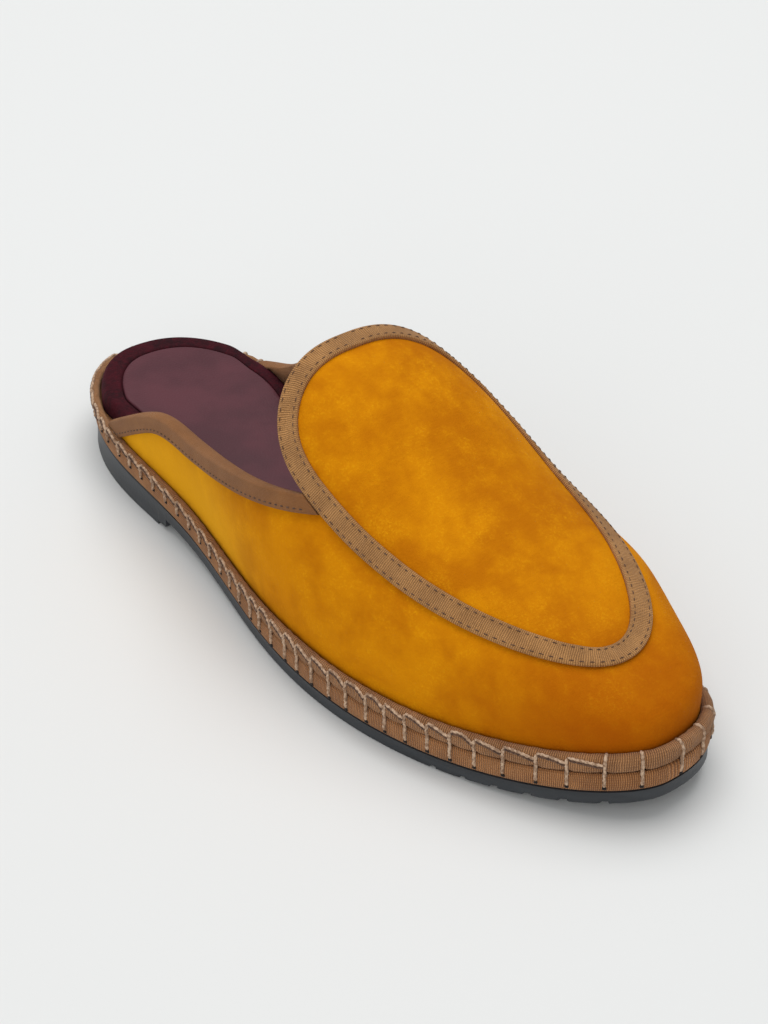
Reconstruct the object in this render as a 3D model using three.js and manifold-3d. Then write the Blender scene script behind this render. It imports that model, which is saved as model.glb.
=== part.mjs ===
// Right velvet mule slipper with an apron front, a ribbon edging and a blanket-stitched welt.
// Millimetres. +X runs to the toe, +Y to the wearer's left (the inner, medial side), +Z up.
// The origin is under the middle of the slipper, on the floor that it stands on.
import * as THREE from 'three';
import { mergeVertices } from 'three/addons/utils/BufferGeometryUtils.js';
import Module from 'manifold-3d';

const wasm = await Module();
wasm.setup();

// Driving dimensions: sole
const soleLength = 258;
const heelWidth = 59.5;
const waistWidth = 56;
const ballWidth = 84.5;
const foreRubber = 4;
const heelRubber = 9;
const toeSpring = 7;
const heelLength = 62;
const groundContactEnd = 196;
const treadGroove = 2.2;
const treadDepth = 0.7;
const treadPitch = 9;
const treadChamfer = 0.8;
const midsoleThickness = 6;
const midsoleProud = 0.7;
const rollHeelHeight = 2.5;
const rollForeHeight = 5.6;
const rollProud = 1.2;

// Driving dimensions: footbed
const insoleHeelThickness = 6;
const insoleForeThickness = 4;
const insoleHeelInset = 2.1;
const insoleRimWidth = 7.2;
const padThickness = 1.2;
const padInlay = 0.9;

// Driving dimensions: upper
const upperWall = 1.8;
const featherHeelInset = 1.6;
const featherToeInset = 3;
const instepHeight = 66;
const collarHeight = 42;
const quarterBack = 32;
const tongueBack = 116.5;
const apronToeMargin = 22.7;
const apronHalfWidth = 35.4;
const toeBoxLength = 80;

// Driving dimensions: ribbon and tape
const tapeThickness = 1;
const ribbonWidth = 6.2;
const ribbonTurnIn = 4;
const ribbonFoldRoom = 0.8;
const collarTapeWidth = 4.2;
const collarTapeInside = 4;
const collarTapeRoom = 0.5;

// Space left between pieces that touch
const gap = 0.3;

// Sizes that follow from the ones above
const apronFront = soleLength - apronToeMargin;
const toeTip = soleLength - featherToeInset;
const ribbonEdge = gap * 2;
const upperClearance = gap * 4;

// How finely each shape is divided
const stationCount = 36;
const acrossCount = 4;
const apronRows = 28;
const apronColumns = 5;
const wallRows = 7;
const quarterColumns = 15;
const rollCornerCount = 9;
const collarTapeCount = 24;
const pathCount = 600;
const treadGrooveCount = 6;
const foldEndRows = 3;

// Shares of the sole's length between which the rubber and the footbed thin out and the roll rises
const rubberFall = { from: 0.12, to: 0.58 };
const insoleFall = { from: 0.2, to: 0.6 };
const rollRise = { from: 0.36, to: 0.6 };

// Turns between which the upper's foot moves in at the toe, and the footbed moves inside the upper
const featherChange = { from: 0.45, to: 0.95 };
const insoleChange = { from: 0.17, to: 0.21 };

// Shares of a layer's height at which its side turns
const midsoleTurns = { round: 0.6, lower: 0.3, upper: 0.75 };
const rimTurns = { wall: 0.65, shoulder: 0.93, shoulderInset: 0.15, flatInset: 0.4 };
const padTurns = { wall: 0.6, slope: 0.7 };

// How the wall's rows crowd towards the welt, how near the feather the apron may come, how far the
// apron's lines fan out at its ends, and where the collar starts to ease into the apron's edge
const wallCrowding = 1.8;
const apronReach = 0.97;
const fanReach = 0.7;
const collarEase = 0.45;

// The roundings of ribbon and tape as shares of their thickness
const ribbonRound = 0.3;
const collarTapeRound = 0.35;

// Half outline of the sole from the heel (turn 0) to the toe (turn 1), as shares of a named width
const outlineRows = [
  { turn: 0.0, of: heelWidth, lateral: 0.819, medial: 1.166 },
  { turn: 0.125, of: heelWidth, lateral: 0.775, medial: 0.932 },
  { turn: 0.25, of: heelWidth, lateral: 0.686, medial: 0.715 },
  { turn: 0.375, of: waistWidth, lateral: 0.629, medial: 0.446 },
  { turn: 0.5, of: ballWidth, lateral: 0.499, medial: 0.345 },
  { turn: 0.625, of: ballWidth, lateral: 0.562, medial: 0.514 },
  { turn: 0.75, of: ballWidth, lateral: 0.528, medial: 0.553 },
  { turn: 0.875, of: ballWidth, lateral: 0.476, medial: 0.719 },
  { turn: 1.0, of: ballWidth, lateral: 0.412, medial: 0.865 },
];

// Body of the last above the welt: crown height as a share of the instep height, the ridge's
// place and the swell beyond the welt as shares of the ball width, and how square each side is
const bodyRows = [
  { at: 0.0, crown: 0.99, ridge: 0.0, swellLat: 0.0, swellMed: 0.0, squareLat: 2.3, squareMed: 2.3 },
  { at: 0.2, crown: 0.99, ridge: -0.03, swellLat: 0.004, swellMed: 0.01, squareLat: 2.4, squareMed: 2.5 },
  { at: 0.36, crown: 0.985, ridge: -0.046, swellLat: 0.03, swellMed: 0.095, squareLat: 2.6, squareMed: 2.8 },
  { at: 0.46, crown: 0.998, ridge: -0.033, swellLat: 0.04, swellMed: 0.155, squareLat: 2.4, squareMed: 2.72 },
  { at: 0.56, crown: 0.859, ridge: -0.01, swellLat: 0.02, swellMed: 0.13, squareLat: 2.2, squareMed: 2.45 },
  { at: 0.66, crown: 0.675, ridge: 0.006, swellLat: 0.004, swellMed: 0.074, squareLat: 2.1, squareMed: 2.3 },
  { at: 0.76, crown: 0.542, ridge: 0.014, swellLat: 0.0, swellMed: 0.088, squareLat: 2.15, squareMed: 2.41 },
  { at: 0.88, crown: 0.395, ridge: 0.022, swellLat: 0.0, swellMed: 0.027, squareLat: 2.55, squareMed: 3.65 },
  { at: 1.0, crown: 0.283, ridge: 0.036, swellLat: 0.0, swellMed: 0.0, squareLat: 2.8, squareMed: 3.6 },
];
const toeRoundness = 2.8;
const swellTop = 0.55;

// Half widths of the apron from the tongue (0) to the toe (1), as shares of its half width,
// before its two ends are rounded off
const apronWidths = [
  { along: 0.0, lateral: 1.14, medial: 1.25 },
  { along: 0.2, lateral: 0.996, medial: 1.122 },
  { along: 0.4, lateral: 0.926, medial: 0.997 },
  { along: 0.6, lateral: 0.845, medial: 0.912 },
  { along: 0.8, lateral: 0.758, medial: 0.838 },
  { along: 1.0, lateral: 0.669, medial: 0.783 },
];
const tongueRoundness = 2.9;
const apronToeRoundness = 2.16;

// Height of the collar above the welt, as a share of the collar height, along the sole length
const collarRows = [
  { at: 0.124, lateral: 0.0, medial: 0.0 },
  { at: 0.16, lateral: 0.158, medial: 0.093 },
  { at: 0.2, lateral: 0.328, medial: 0.228 },
  { at: 0.235, lateral: 0.45, medial: 0.384 },
  { at: 0.27, lateral: 0.515, medial: 0.474 },
  { at: 0.31, lateral: 0.558, medial: 0.546 },
  { at: 0.36, lateral: 0.641, medial: 0.646 },
  { at: 0.42, lateral: 0.748, medial: 0.767 },
  { at: 0.48, lateral: 0.83, medial: 0.854 },
  { at: 0.54, lateral: 0.897, medial: 0.918 },
  { at: 0.62, lateral: 0.994, medial: 1.009 },
];

const lateral = -1;
const medial = 1;

function clamp(value, low, high) {
  return Math.min(high, Math.max(low, value));
}

function lerp(a, b, share) {
  return a + (b - a) * share;
}

function smoothStep(from, to, value) {
  const share = clamp((value - from) / (to - from), 0, 1);
  return share * share * (3 - 2 * share);
}

// Natural cubic spline through one column of a table
function curve(rows, key, valueOf) {
  const xs = rows.map((row) => row[key]);
  const ys = rows.map(valueOf);
  const last = xs.length - 1;
  const bend = new Array(last + 1).fill(0);
  const slope = new Array(last + 1).fill(0);
  for (let i = 1; i < last; i += 1) {
    const share = (xs[i] - xs[i - 1]) / (xs[i + 1] - xs[i - 1]);
    const pivot = share * bend[i - 1] + 2;
    bend[i] = (share - 1) / pivot;
    const kink = (ys[i + 1] - ys[i]) / (xs[i + 1] - xs[i]) - (ys[i] - ys[i - 1]) / (xs[i] - xs[i - 1]);
    slope[i] = ((6 * kink) / (xs[i + 1] - xs[i - 1]) - share * slope[i - 1]) / pivot;
  }
  for (let i = last - 1; i >= 0; i -= 1) {
    bend[i] = bend[i] * bend[i + 1] + slope[i];
  }
  return (at) => {
    const x = clamp(at, xs[0], xs[last]);
    let i = 0;
    while (i < last - 1 && x > xs[i + 1]) i += 1;
    const width = xs[i + 1] - xs[i];
    const right = (x - xs[i]) / width;
    const left = 1 - right;
    const curl = (left ** 3 - left) * bend[i] + (right ** 3 - right) * bend[i + 1];
    return left * ys[i] + right * ys[i + 1] + (curl * width * width) / 6;
  };
}

const outline = {
  [lateral]: curve(outlineRows, 'turn', (row) => row.lateral * row.of),
  [medial]: curve(outlineRows, 'turn', (row) => row.medial * row.of),
};
const crownShare = curve(bodyRows, 'at', (row) => row.crown);
const ridgeShare = curve(bodyRows, 'at', (row) => row.ridge);
const swellShare = {
  [lateral]: curve(bodyRows, 'at', (row) => row.swellLat),
  [medial]: curve(bodyRows, 'at', (row) => row.swellMed),
};
const squareness = {
  [lateral]: curve(bodyRows, 'at', (row) => row.squareLat),
  [medial]: curve(bodyRows, 'at', (row) => row.squareMed),
};
const apronShare = {
  [lateral]: curve(apronWidths, 'along', (row) => row.lateral),
  [medial]: curve(apronWidths, 'along', (row) => row.medial),
};
const collarShare = {
  [lateral]: curve(collarRows, 'at', (row) => row.lateral),
  [medial]: curve(collarRows, 'at', (row) => row.medial),
};

// A point of the sole's outline, moved inwards by inset; turn runs from 0 at the heel to 1 at the toe
function edgePoint(side, turn, inset) {
  const angle = Math.PI * turn;
  const x = (soleLength * (1 - Math.cos(angle))) / 2 + inset * Math.cos(angle);
  const y = side * Math.sin(angle) * (outline[side](turn) - inset);
  return new THREE.Vector2(x, y);
}

function turnAt(x, inset) {
  const half = soleLength / 2;
  return Math.acos(clamp((half - x) / (half - inset), -1, 1)) / Math.PI;
}

// Height of the rubber's top face: level under the ball, raised at the heel, sprung at the toe
function rubberTop(x) {
  const at = x / soleLength;
  const fall = 1 - smoothStep(rubberFall.from, rubberFall.to, at);
  const rise = clamp((x - groundContactEnd) / (soleLength - groundContactEnd), 0, 1) ** 2;
  return foreRubber + (heelRubber - foreRubber) * fall + toeSpring * rise;
}

const midsoleBottom = (x) => rubberTop(x) + gap;
const midsoleTop = (x) => midsoleBottom(x) + midsoleThickness;
const rollBottom = (x) => midsoleTop(x) + gap;
const rollHeight = (x) => {
  const share = smoothStep(rollRise.from, rollRise.to, x / soleLength);
  return lerp(rollHeelHeight, rollForeHeight, share);
};
const featherHeight = (x) => rollBottom(x) + rollHeight(x);

function featherInset(turn) {
  return lerp(featherHeelInset, featherToeInset, smoothStep(featherChange.from, featherChange.to, turn));
}

// The last's section at one turn: where its two feather points lie and how it rises between them
function section(turn) {
  const inset = featherInset(turn);
  const ends = { [lateral]: edgePoint(lateral, turn, inset), [medial]: edgePoint(medial, turn, inset) };
  const x = (ends[lateral].x + ends[medial].x) / 2;
  const at = clamp(x / soleLength, 0, 1);
  const intoToe = clamp((x - toeTip + toeBoxLength) / toeBoxLength, 0, 1);
  const toeFall = (1 - intoToe ** toeRoundness) ** (1 / toeRoundness);
  const ridge = clamp(ridgeShare(at) * ballWidth, ends[lateral].y, ends[medial].y);
  return {
    ends,
    x,
    ridge,
    base: featherHeight(x),
    crown: crownShare(at) * instepHeight * toeFall,
    swell: {
      [lateral]: Math.max(0, swellShare[lateral](at)) * ballWidth,
      [medial]: Math.max(0, swellShare[medial](at)) * ballWidth,
    },
    power: { [lateral]: squareness[lateral](at), [medial]: squareness[medial](at) },
  };
}

function halfWidth(cut, side) {
  return Math.abs(cut.ends[side].y - cut.ridge) + cut.swell[side];
}

// A point of the last: out is the share of the half width, from 0 on the ridge to 1 at the feather
function bodyPoint(cut, side, out) {
  const power = cut.power[side];
  const lift = (1 - clamp(out, 0, 1) ** power) ** (1 / power);
  const tuck = clamp(1 - lift / swellTop, 0, 1) ** 2;
  const y = cut.ridge + side * (out * halfWidth(cut, side) - cut.swell[side] * tuck);
  return new THREE.Vector3(cut.x, y, cut.base + cut.crown * lift);
}

function outAtHeight(cut, side, height) {
  const power = cut.power[side];
  return (1 - clamp(height / cut.crown, 0, 1) ** power) ** (1 / power);
}

// The same surface by angle: 0 at the lateral feather, a right angle on the ridge, then medial
function bodyAt(turn, angle) {
  const cut = section(turn);
  const side = angle < Math.PI / 2 ? lateral : medial;
  return bodyPoint(cut, side, Math.abs(Math.cos(angle)) ** (2 / cut.power[side]));
}

function turnOver(x) {
  return turnAt(x, featherInset(turnAt(x, featherHeelInset)));
}

function angleOf(cut, side, out) {
  const fromFeather = Math.acos(clamp(out, 0, 1) ** (cut.power[side] / 2));
  return side === lateral ? fromFeather : Math.PI - fromFeather;
}

// Turn and angle at which the ray from a section's middle through a point meets the surface
function placeNear(point) {
  const turn = turnOver(point.x);
  const cut = section(turn);
  const side = point.y < cut.ridge ? lateral : medial;
  const across = Math.abs(point.y - cut.ridge) / halfWidth(cut, side);
  const up = Math.max(0, point.z - cut.base) / cut.crown;
  const power = cut.power[side];
  const reach = (across ** power + up ** power) ** (1 / power);
  return { turn, angle: angleOf(cut, side, across / reach) };
}

function surfaceNormal({ turn, angle }) {
  const turnStep = 0.002;
  const angleStep = 0.01;
  const onward = bodyAt(turn + turnStep, angle).sub(bodyAt(turn - turnStep, angle));
  const over = bodyAt(turn, angle + angleStep).sub(bodyAt(turn, angle - angleStep));
  return onward.cross(over).normalize();
}

// A point of the surface, moved off it by lift
function lifted(place, lift) {
  return bodyAt(place.turn, place.angle).addScaledVector(surfaceNormal(place), lift);
}

// Rounds off the apron's two ends: 1 in the middle of its length, 0 at the tongue and at the toe
function apronClosing(along) {
  const fromMiddle = 2 * along - 1;
  const roundness = fromMiddle < 0 ? tongueRoundness : apronToeRoundness;
  return (1 - Math.abs(fromMiddle) ** roundness) ** (1 / roundness);
}

// Shares of the apron's length at which its rows lie, evenly spaced along its edge
function evenRows() {
  const share = (i) => (1 - Math.cos((Math.PI * i) / pathCount)) / 2;
  const shares = Array.from({ length: pathCount + 1 }, (_, i) => share(i));
  const travelled = [0];
  for (let i = 1; i <= pathCount; i += 1) {
    const onward = (shares[i] - shares[i - 1]) * (apronFront - tongueBack);
    const aside = (apronClosing(shares[i]) - apronClosing(shares[i - 1])) * apronHalfWidth;
    travelled.push(travelled[i - 1] + Math.hypot(onward, aside));
  }
  return Array.from({ length: apronRows + 1 }, (_, row) => {
    const goal = (travelled[pathCount] * row) / apronRows;
    const past = travelled.findIndex((length) => length >= goal);
    return row === apronRows ? 1 : shares[past];
  });
}
const apronSteps = evenRows();

// Outline of the apron: its row number runs from the tongue (0) to the toe (apronRows)
function apronEdge(side, row) {
  const along = apronSteps[row];
  const x = lerp(tongueBack, apronFront, along);
  const closing = apronClosing(along);
  const cut = section(turnOver(x));
  const reach = apronShare[side](along) * apronHalfWidth * closing;
  return { cut, out: clamp(reach / halfWidth(cut, side), 0, apronReach) };
}

// The apron row nearest to the collar's height, where the quarter meets the apron
function meetingRow(side) {
  let nearest = apronRows - 1;
  let least = Infinity;
  for (let row = 1; row < apronRows; row += 1) {
    const { cut, out } = apronEdge(side, row);
    const height = bodyPoint(cut, side, out).z - cut.base;
    const miss = Math.abs(height - collarShare[side](cut.x / soleLength) * collarHeight);
    if (cut.x > soleLength / 2 && miss < least) {
      nearest = row;
      least = miss;
    }
  }
  return nearest;
}

// A mesh that gathers triangles and joins the points that coincide
class Facets {
  constructor() {
    this.points = [];
    this.faces = [];
    this.index = new Map();
  }

  point(vector) {
    const key = vector.toArray().map((value) => Math.round(value * 2000)).join(' ');
    if (!this.index.has(key)) {
      this.index.set(key, this.points.length);
      this.points.push(vector.clone());
    }
    return this.index.get(key);
  }

  triangle(a, b, c) {
    const [i, j, k] = [this.point(a), this.point(b), this.point(c)];
    if (i !== j && j !== k && k !== i) this.faces.push([i, j, k]);
  }

  quad(a, b, c, d) {
    this.triangle(a, b, c);
    this.triangle(a, c, d);
  }

  grid(rows, flip) {
    for (let i = 0; i + 1 < rows.length; i += 1) {
      for (let j = 0; j + 1 < rows[i].length; j += 1) {
        const corners = [rows[i][j], rows[i + 1][j], rows[i + 1][j + 1], rows[i][j + 1]];
        if (flip) corners.reverse();
        this.quad(...corners);
      }
    }
  }

  geometry() {
    const geometry = new THREE.BufferGeometry();
    geometry.setAttribute('position', new THREE.Float32BufferAttribute(
      this.points.flatMap((point) => point.toArray()), 3));
    geometry.setIndex(this.faces.flat());
    return geometry;
  }
}

// Gives an open sheet a wall: its copy moved inwards along the normals, and strips along its edges
function thicken(sheet, wall) {
  const normals = sheet.points.map(() => new THREE.Vector3());
  for (const face of sheet.faces) {
    const [a, b, c] = face.map((i) => sheet.points[i]);
    const normal = b.clone().sub(a).cross(c.clone().sub(a));
    face.forEach((i) => normals[i].add(normal));
  }
  const inner = sheet.points.map((point, i) => point.clone().addScaledVector(normals[i].normalize(), -wall));
  const solid = new Facets();
  const directed = new Set(sheet.faces.flatMap(([a, b, c]) => [`${a} ${b}`, `${b} ${c}`, `${c} ${a}`]));
  for (const [a, b, c] of sheet.faces) {
    solid.triangle(sheet.points[a], sheet.points[b], sheet.points[c]);
    solid.triangle(inner[c], inner[b], inner[a]);
    for (const [from, to] of [[a, b], [b, c], [c, a]]) {
      if (!directed.has(`${to} ${from}`)) {
        solid.quad(sheet.points[to], sheet.points[from], inner[from], inner[to]);
      }
    }
  }
  return solid.geometry();
}

// Skin between closed sections of equal count; ends are capped unless the path closes on itself
function loft(sections, profile) {
  const skin = new Facets();
  const count = sections[0].length;
  const closed = !profile;
  const steps = closed ? sections.length : sections.length - 1;
  for (let i = 0; i < steps; i += 1) {
    const here = sections[i];
    const next = sections[(i + 1) % sections.length];
    for (let j = 0; j < count; j += 1) {
      const k = (j + 1) % count;
      if (closed) skin.quad(here[j], here[k], next[k], next[j]);
      else skin.quad(here[j], next[j], next[k], here[k]);
    }
  }
  if (!closed) {
    for (const [a, b, c] of THREE.ShapeUtils.triangulateShape(profile, [])) {
      const first = sections[0];
      const end = sections[sections.length - 1];
      skin.triangle(first[a], first[b], first[c]);
      skin.triangle(end[c], end[b], end[a]);
    }
  }
  return skin.geometry();
}

// A layer of the sole: rim lists its side from bottom to top as insets and heights over x
function layer(rim, bottom, top) {
  const skin = new Facets();
  const ring = (turn) => {
    const at = (side, step) => {
      const edge = edgePoint(side, turn, step.inset(turn));
      return new THREE.Vector3(edge.x, edge.y, step.height(edge.x));
    };
    const cross = (step, height) => {
      const from = at(lateral, step);
      const to = at(medial, step);
      return Array.from({ length: acrossCount + 1 }, (_, i) => {
        const point = from.clone().lerp(to, i / acrossCount);
        point.z = height(point.x);
        return point;
      });
    };
    const low = cross(rim[0], bottom).reverse();
    const high = cross(rim[rim.length - 1], top);
    const upLateral = rim.slice(1, -1).map((step) => at(lateral, step));
    const downMedial = rim.slice(1, -1).reverse().map((step) => at(medial, step));
    return [...low, ...upLateral, ...high, ...downMedial];
  };
  const rings = Array.from({ length: stationCount + 1 }, (_, i) => ring(i / stationCount));
  for (let i = 0; i < stationCount; i += 1) {
    for (let j = 0; j < rings[i].length; j += 1) {
      const k = (j + 1) % rings[i].length;
      skin.quad(rings[i][j], rings[i + 1][j], rings[i + 1][k], rings[i][k]);
    }
  }
  return skin.geometry();
}

function toSolid(geometry) {
  const plain = geometry.clone();
  plain.deleteAttribute('normal');
  plain.deleteAttribute('uv');
  const merged = mergeVertices(plain, 1e-4);
  return new wasm.Manifold(new wasm.Mesh({
    numProp: 3,
    vertProperties: new Float32Array(merged.attributes.position.array),
    triVerts: new Uint32Array(merged.index.array),
  }));
}

function toGeometry(solid) {
  const mesh = solid.getMesh();
  const geometry = new THREE.BufferGeometry();
  geometry.setAttribute('position', new THREE.BufferAttribute(mesh.vertProperties, 3));
  geometry.setIndex(new THREE.BufferAttribute(mesh.triVerts, 1));
  return geometry;
}

function boxSolid(centre, size) {
  const box = new THREE.BoxGeometry(...size);
  box.translate(...centre);
  return toSolid(box);
}

// Rubber outsole: thin under waist and forefoot, with a low heel and grooves across the tread
function makeOutsole() {
  const side = (bottom) => [
    { inset: () => treadChamfer, height: bottom },
    { inset: () => 0, height: (x) => bottom(x) + treadChamfer },
    { inset: () => 0, height: rubberTop },
  ];
  const soleBottom = (x) => rubberTop(x) - foreRubber;
  const floor = () => 0;
  const sheet = toSolid(layer(side(soleBottom), soleBottom, rubberTop));
  const block = toSolid(layer(side(floor), floor, rubberTop));
  const breastCentre = [(heelLength - heelWidth) / 2, 0, heelRubber];
  const breastBox = boxSolid(breastCentre, [heelLength + heelWidth, ballWidth * 2, heelRubber * 3]);
  let sole = sheet.add(block.intersect(breastBox));
  for (let i = 1; i <= treadGrooveCount; i += 1) {
    const x = soleLength - i * treadPitch;
    const groove = boxSolid([x, 0, soleBottom(x)], [treadGroove, ballWidth * 2, treadDepth * 2]);
    sole = sole.subtract(groove);
  }
  return toGeometry(sole);
}

function makeMidsole() {
  const between = (share) => (x) => lerp(midsoleBottom(x), midsoleTop(x), share);
  return layer([
    { inset: () => midsoleProud * midsoleTurns.round, height: midsoleBottom },
    { inset: () => -midsoleProud, height: between(midsoleTurns.lower) },
    { inset: () => -midsoleProud, height: between(midsoleTurns.upper) },
    { inset: () => 0, height: midsoleTop },
  ], midsoleBottom, midsoleTop);
}

// Rounded welt roll that lies on the midsole all the way round, outside the upper's foot
function makeRoll() {
  const ringAt = (side, turn) => Array.from({ length: rollCornerCount }, (_, i) => {
    const angle = (2 * Math.PI * i * side) / rollCornerCount;
    const inner = featherInset(turn) - gap;
    const across = (inner + rollProud) / 2;
    const inset = inner - across - across * Math.cos(angle);
    const edge = edgePoint(side, turn, inset);
    const half = rollHeight(edge.x) / 2;
    return new THREE.Vector3(edge.x, edge.y, rollBottom(edge.x) + half * (1 + Math.sin(angle)));
  });
  const rings = [];
  for (let i = 0; i < stationCount; i += 1) rings.push(ringAt(lateral, i / stationCount));
  for (let i = stationCount; i > 0; i -= 1) {
    const ring = ringAt(medial, i / stationCount);
    rings.push(ring.map((_, j) => ring[(rollCornerCount - j) % rollCornerCount]));
  }
  return loft(rings);
}

// Velvet-covered footbed with a recess for the leather pad
const insoleBottom = (x) => midsoleTop(x) + gap;

function insoleTop(x) {
  const share = smoothStep(insoleFall.from, insoleFall.to, x / soleLength);
  return insoleBottom(x) + lerp(insoleHeelThickness, insoleForeThickness, share);
}

function insoleInset(turn) {
  const inUpper = featherInset(turn) + upperWall + upperClearance;
  return lerp(insoleHeelInset, inUpper, smoothStep(insoleChange.from, insoleChange.to, turn));
}

const recessFloor = (x) => insoleTop(x) - padInlay;

function makeInsole() {
  const at = (inset, height) => ({ inset: (turn) => insoleInset(turn) + inset, height });
  const between = (share) => (x) => lerp(insoleBottom(x), insoleTop(x), share);
  return layer([
    at(0, insoleBottom),
    at(0, between(rimTurns.wall)),
    at(insoleRimWidth * rimTurns.shoulderInset, between(rimTurns.shoulder)),
    at(insoleRimWidth * rimTurns.flatInset, insoleTop),
    at(insoleRimWidth, insoleTop),
    at(insoleRimWidth + gap, recessFloor),
  ], insoleBottom, recessFloor);
}

// Leather pad that lies in the footbed's recess and stands a little proud of it
function makePad() {
  const rim = insoleRimWidth + gap * 2;
  const at = (inset, height) => ({ inset: (turn) => insoleInset(turn) + rim + inset, height });
  const padBottom = (x) => recessFloor(x) + gap / 3;
  const padTop = (x) => padBottom(x) + padThickness;
  return layer([
    at(0, padBottom),
    at(0, (x) => lerp(padBottom(x), padTop(x), padTurns.wall)),
    at(padThickness * padTurns.slope, padTop),
  ], padBottom, padTop);
}

// Columns of the upper's wall on one side, from the quarter's back end to the toe. Each is a list
// of points from the welt up to the collar or to the apron's edge.
function wallColumns(side) {
  const meeting = meetingRow(side);
  const columns = [];
  const open = (cut) => Math.abs(cut.ends[side].y - cut.ridge);
  const between = (footCut, top, share) => {
    if (footCut === top.cut) return bodyPoint(top.cut, side, lerp(1, top.out, share));
    const cut = section(turnOver(lerp(footCut.x, top.cut.x, share)));
    const reach = lerp(open(footCut), top.out * open(top.cut), share);
    return bodyPoint(cut, side, clamp(reach / open(cut), 0, 1));
  };
  const rise = (footCut, top) => {
    const feather = bodyPoint(footCut, side, 1);
    const foot = feather.clone().setZ(midsoleTop(feather.x) + gap);
    const column = [foot, feather];
    for (let i = 1; i < wallRows; i += 1) {
      column.push(between(footCut, top, (i / wallRows) ** wallCrowding));
    }
    column.push(bodyPoint(top.cut, side, top.out));
    return column;
  };
  const backTurn = turnAt(quarterBack, featherHeelInset);
  const meet = apronEdge(side, meeting);
  const meetTurn = turnOver(meet.cut.x);
  const collarAt = collarCurve(side, meet);
  for (let i = 0; i < quarterColumns; i += 1) {
    const cut = section(lerp(backTurn, meetTurn, i / quarterColumns));
    columns.push(rise(cut, { cut, out: outAtHeight(cut, side, collarAt(cut.x)) }));
  }
  columns.push(rise(meet.cut, meet));
  for (let row = meeting + 1; row <= apronRows; row += 1) {
    const share = (row - meeting) / (apronRows - meeting);
    columns.push(rise(section(lerp(meetTurn, 1, share)), apronEdge(side, row)));
  }
  return columns;
}

// Collar height over x on one side, eased so that it ends exactly on the apron's edge
function collarCurve(side, meet) {
  const meetX = meet.cut.x;
  const meetHeight = bodyPoint(meet.cut, side, meet.out).z - meet.cut.base;
  const onward = (x) => (x - quarterBack) / (meetX - quarterBack);
  const table = (x) => {
    const at = lerp(collarRows[0].at, meetX / soleLength, onward(x));
    return collarShare[side](at) * collarHeight;
  };
  const missing = meetHeight - table(meetX);
  return (x) => table(x) + missing * smoothStep(collarEase, 1, onward(x));
}

// Lines that run from the apron's edge to its ridge on one side, fanned out at both ends
function apronFan(side) {
  const reach = apronHalfWidth * fanReach;
  return apronSteps.map((_, row) => {
    const edge = apronEdge(side, row);
    const spine = clamp(edge.cut.x, tongueBack + reach, apronFront - reach);
    return Array.from({ length: apronColumns + 1 }, (__, j) => {
      const share = j / apronColumns;
      const cut = j === 0 ? edge.cut : section(turnOver(lerp(edge.cut.x, spine, share)));
      return bodyPoint(cut, side, edge.out * (1 - share));
    });
  });
}

function makeUpper() {
  const sheet = new Facets();
  sheet.grid(wallColumns(lateral), false);
  sheet.grid(wallColumns(medial), true);
  sheet.grid(apronFan(lateral), false);
  sheet.grid(apronFan(medial), true);
  return thicken(sheet, upperWall);
}

// Point and frame on the apron's edge, going once round from the tongue's back
function apronPath() {
  const path = [];
  for (let row = 0; row < apronRows; row += 1) path.push({ side: lateral, row });
  for (let row = apronRows; row > 0; row -= 1) path.push({ side: medial, row });
  const points = path.map(({ side, row }) => {
    const { cut, out } = apronEdge(side, row);
    return bodyPoint(cut, side, out);
  });
  return path.map((mark, i) => {
    const before = points[(i + points.length - 1) % points.length];
    const after = points[(i + 1) % points.length];
    const normal = surfaceNormal(placeNear(points[i]));
    const outward = normal.clone().cross(after.clone().sub(before)).negate().normalize();
    return { ...mark, point: points[i], outward };
  });
}

// A point beside the apron's edge: outward along the surface, then lifted off it
function besideApron(mark, outward, lift) {
  return lifted(placeNear(mark.point.clone().addScaledVector(mark.outward, outward)), lift);
}

// The ribbon folds round the tongue's free edge. Near the quarters its turned-in part ends first,
// one row before its outer fold does.
function foldAt(mark) {
  const freeRows = meetingRow(mark.side) - foldEndRows;
  return { deep: mark.row <= freeRows ? 1 : 0, turned: mark.row < freeRows ? 1 : 0 };
}

function ribbonProfile({ deep, turned }) {
  const outer = ribbonEdge + tapeThickness;
  const inner = outer - ribbonWidth;
  const round = tapeThickness * ribbonRound;
  const top = gap + tapeThickness;
  const under = lerp(gap, -upperWall - ribbonFoldRoom, deep);
  const low = lerp(gap, -upperWall - ribbonFoldRoom - tapeThickness, deep);
  return [
    [inner, gap],
    [inner, top - round],
    [inner + round, top],
    [(inner + outer) / 2, top],
    [outer - round, top],
    [outer, top - round],
    [outer, lerp(gap + round, low + round, deep)],
    [outer - round, low],
    [lerp(ribbonEdge + round, -ribbonTurnIn, turned), low],
    [lerp(ribbonEdge + round, -ribbonTurnIn, turned), under],
    [ribbonEdge, under],
    [ribbonEdge, gap],
  ];
}

function makeRibbon() {
  return loft(apronPath().map((mark) => ribbonProfile(foldAt(mark))
    .map(([outward, lift]) => besideApron(mark, outward, lift))));
}

// Space that the ribbon and the apron's edge keep free of the collar tapes
function ribbonClearance() {
  const outer = ribbonEdge + tapeThickness + gap;
  const inner = outer - ribbonWidth * 2;
  const over = tapeThickness * 4;
  const under = -upperWall * 3;
  const profile = [[inner, under], [inner, over], [outer, over], [outer, under]];
  return toSolid(loft(apronPath().map((mark) => profile
    .map(([outward, lift]) => besideApron(mark, outward, lift)))));
}

// Where the quarter first rises to a height above the welt, going forward from its back end
function tapeStart(collarAt, height) {
  let x = quarterBack;
  while (x < tongueBack && collarAt(x) < height) x += gap;
  return x;
}

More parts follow.
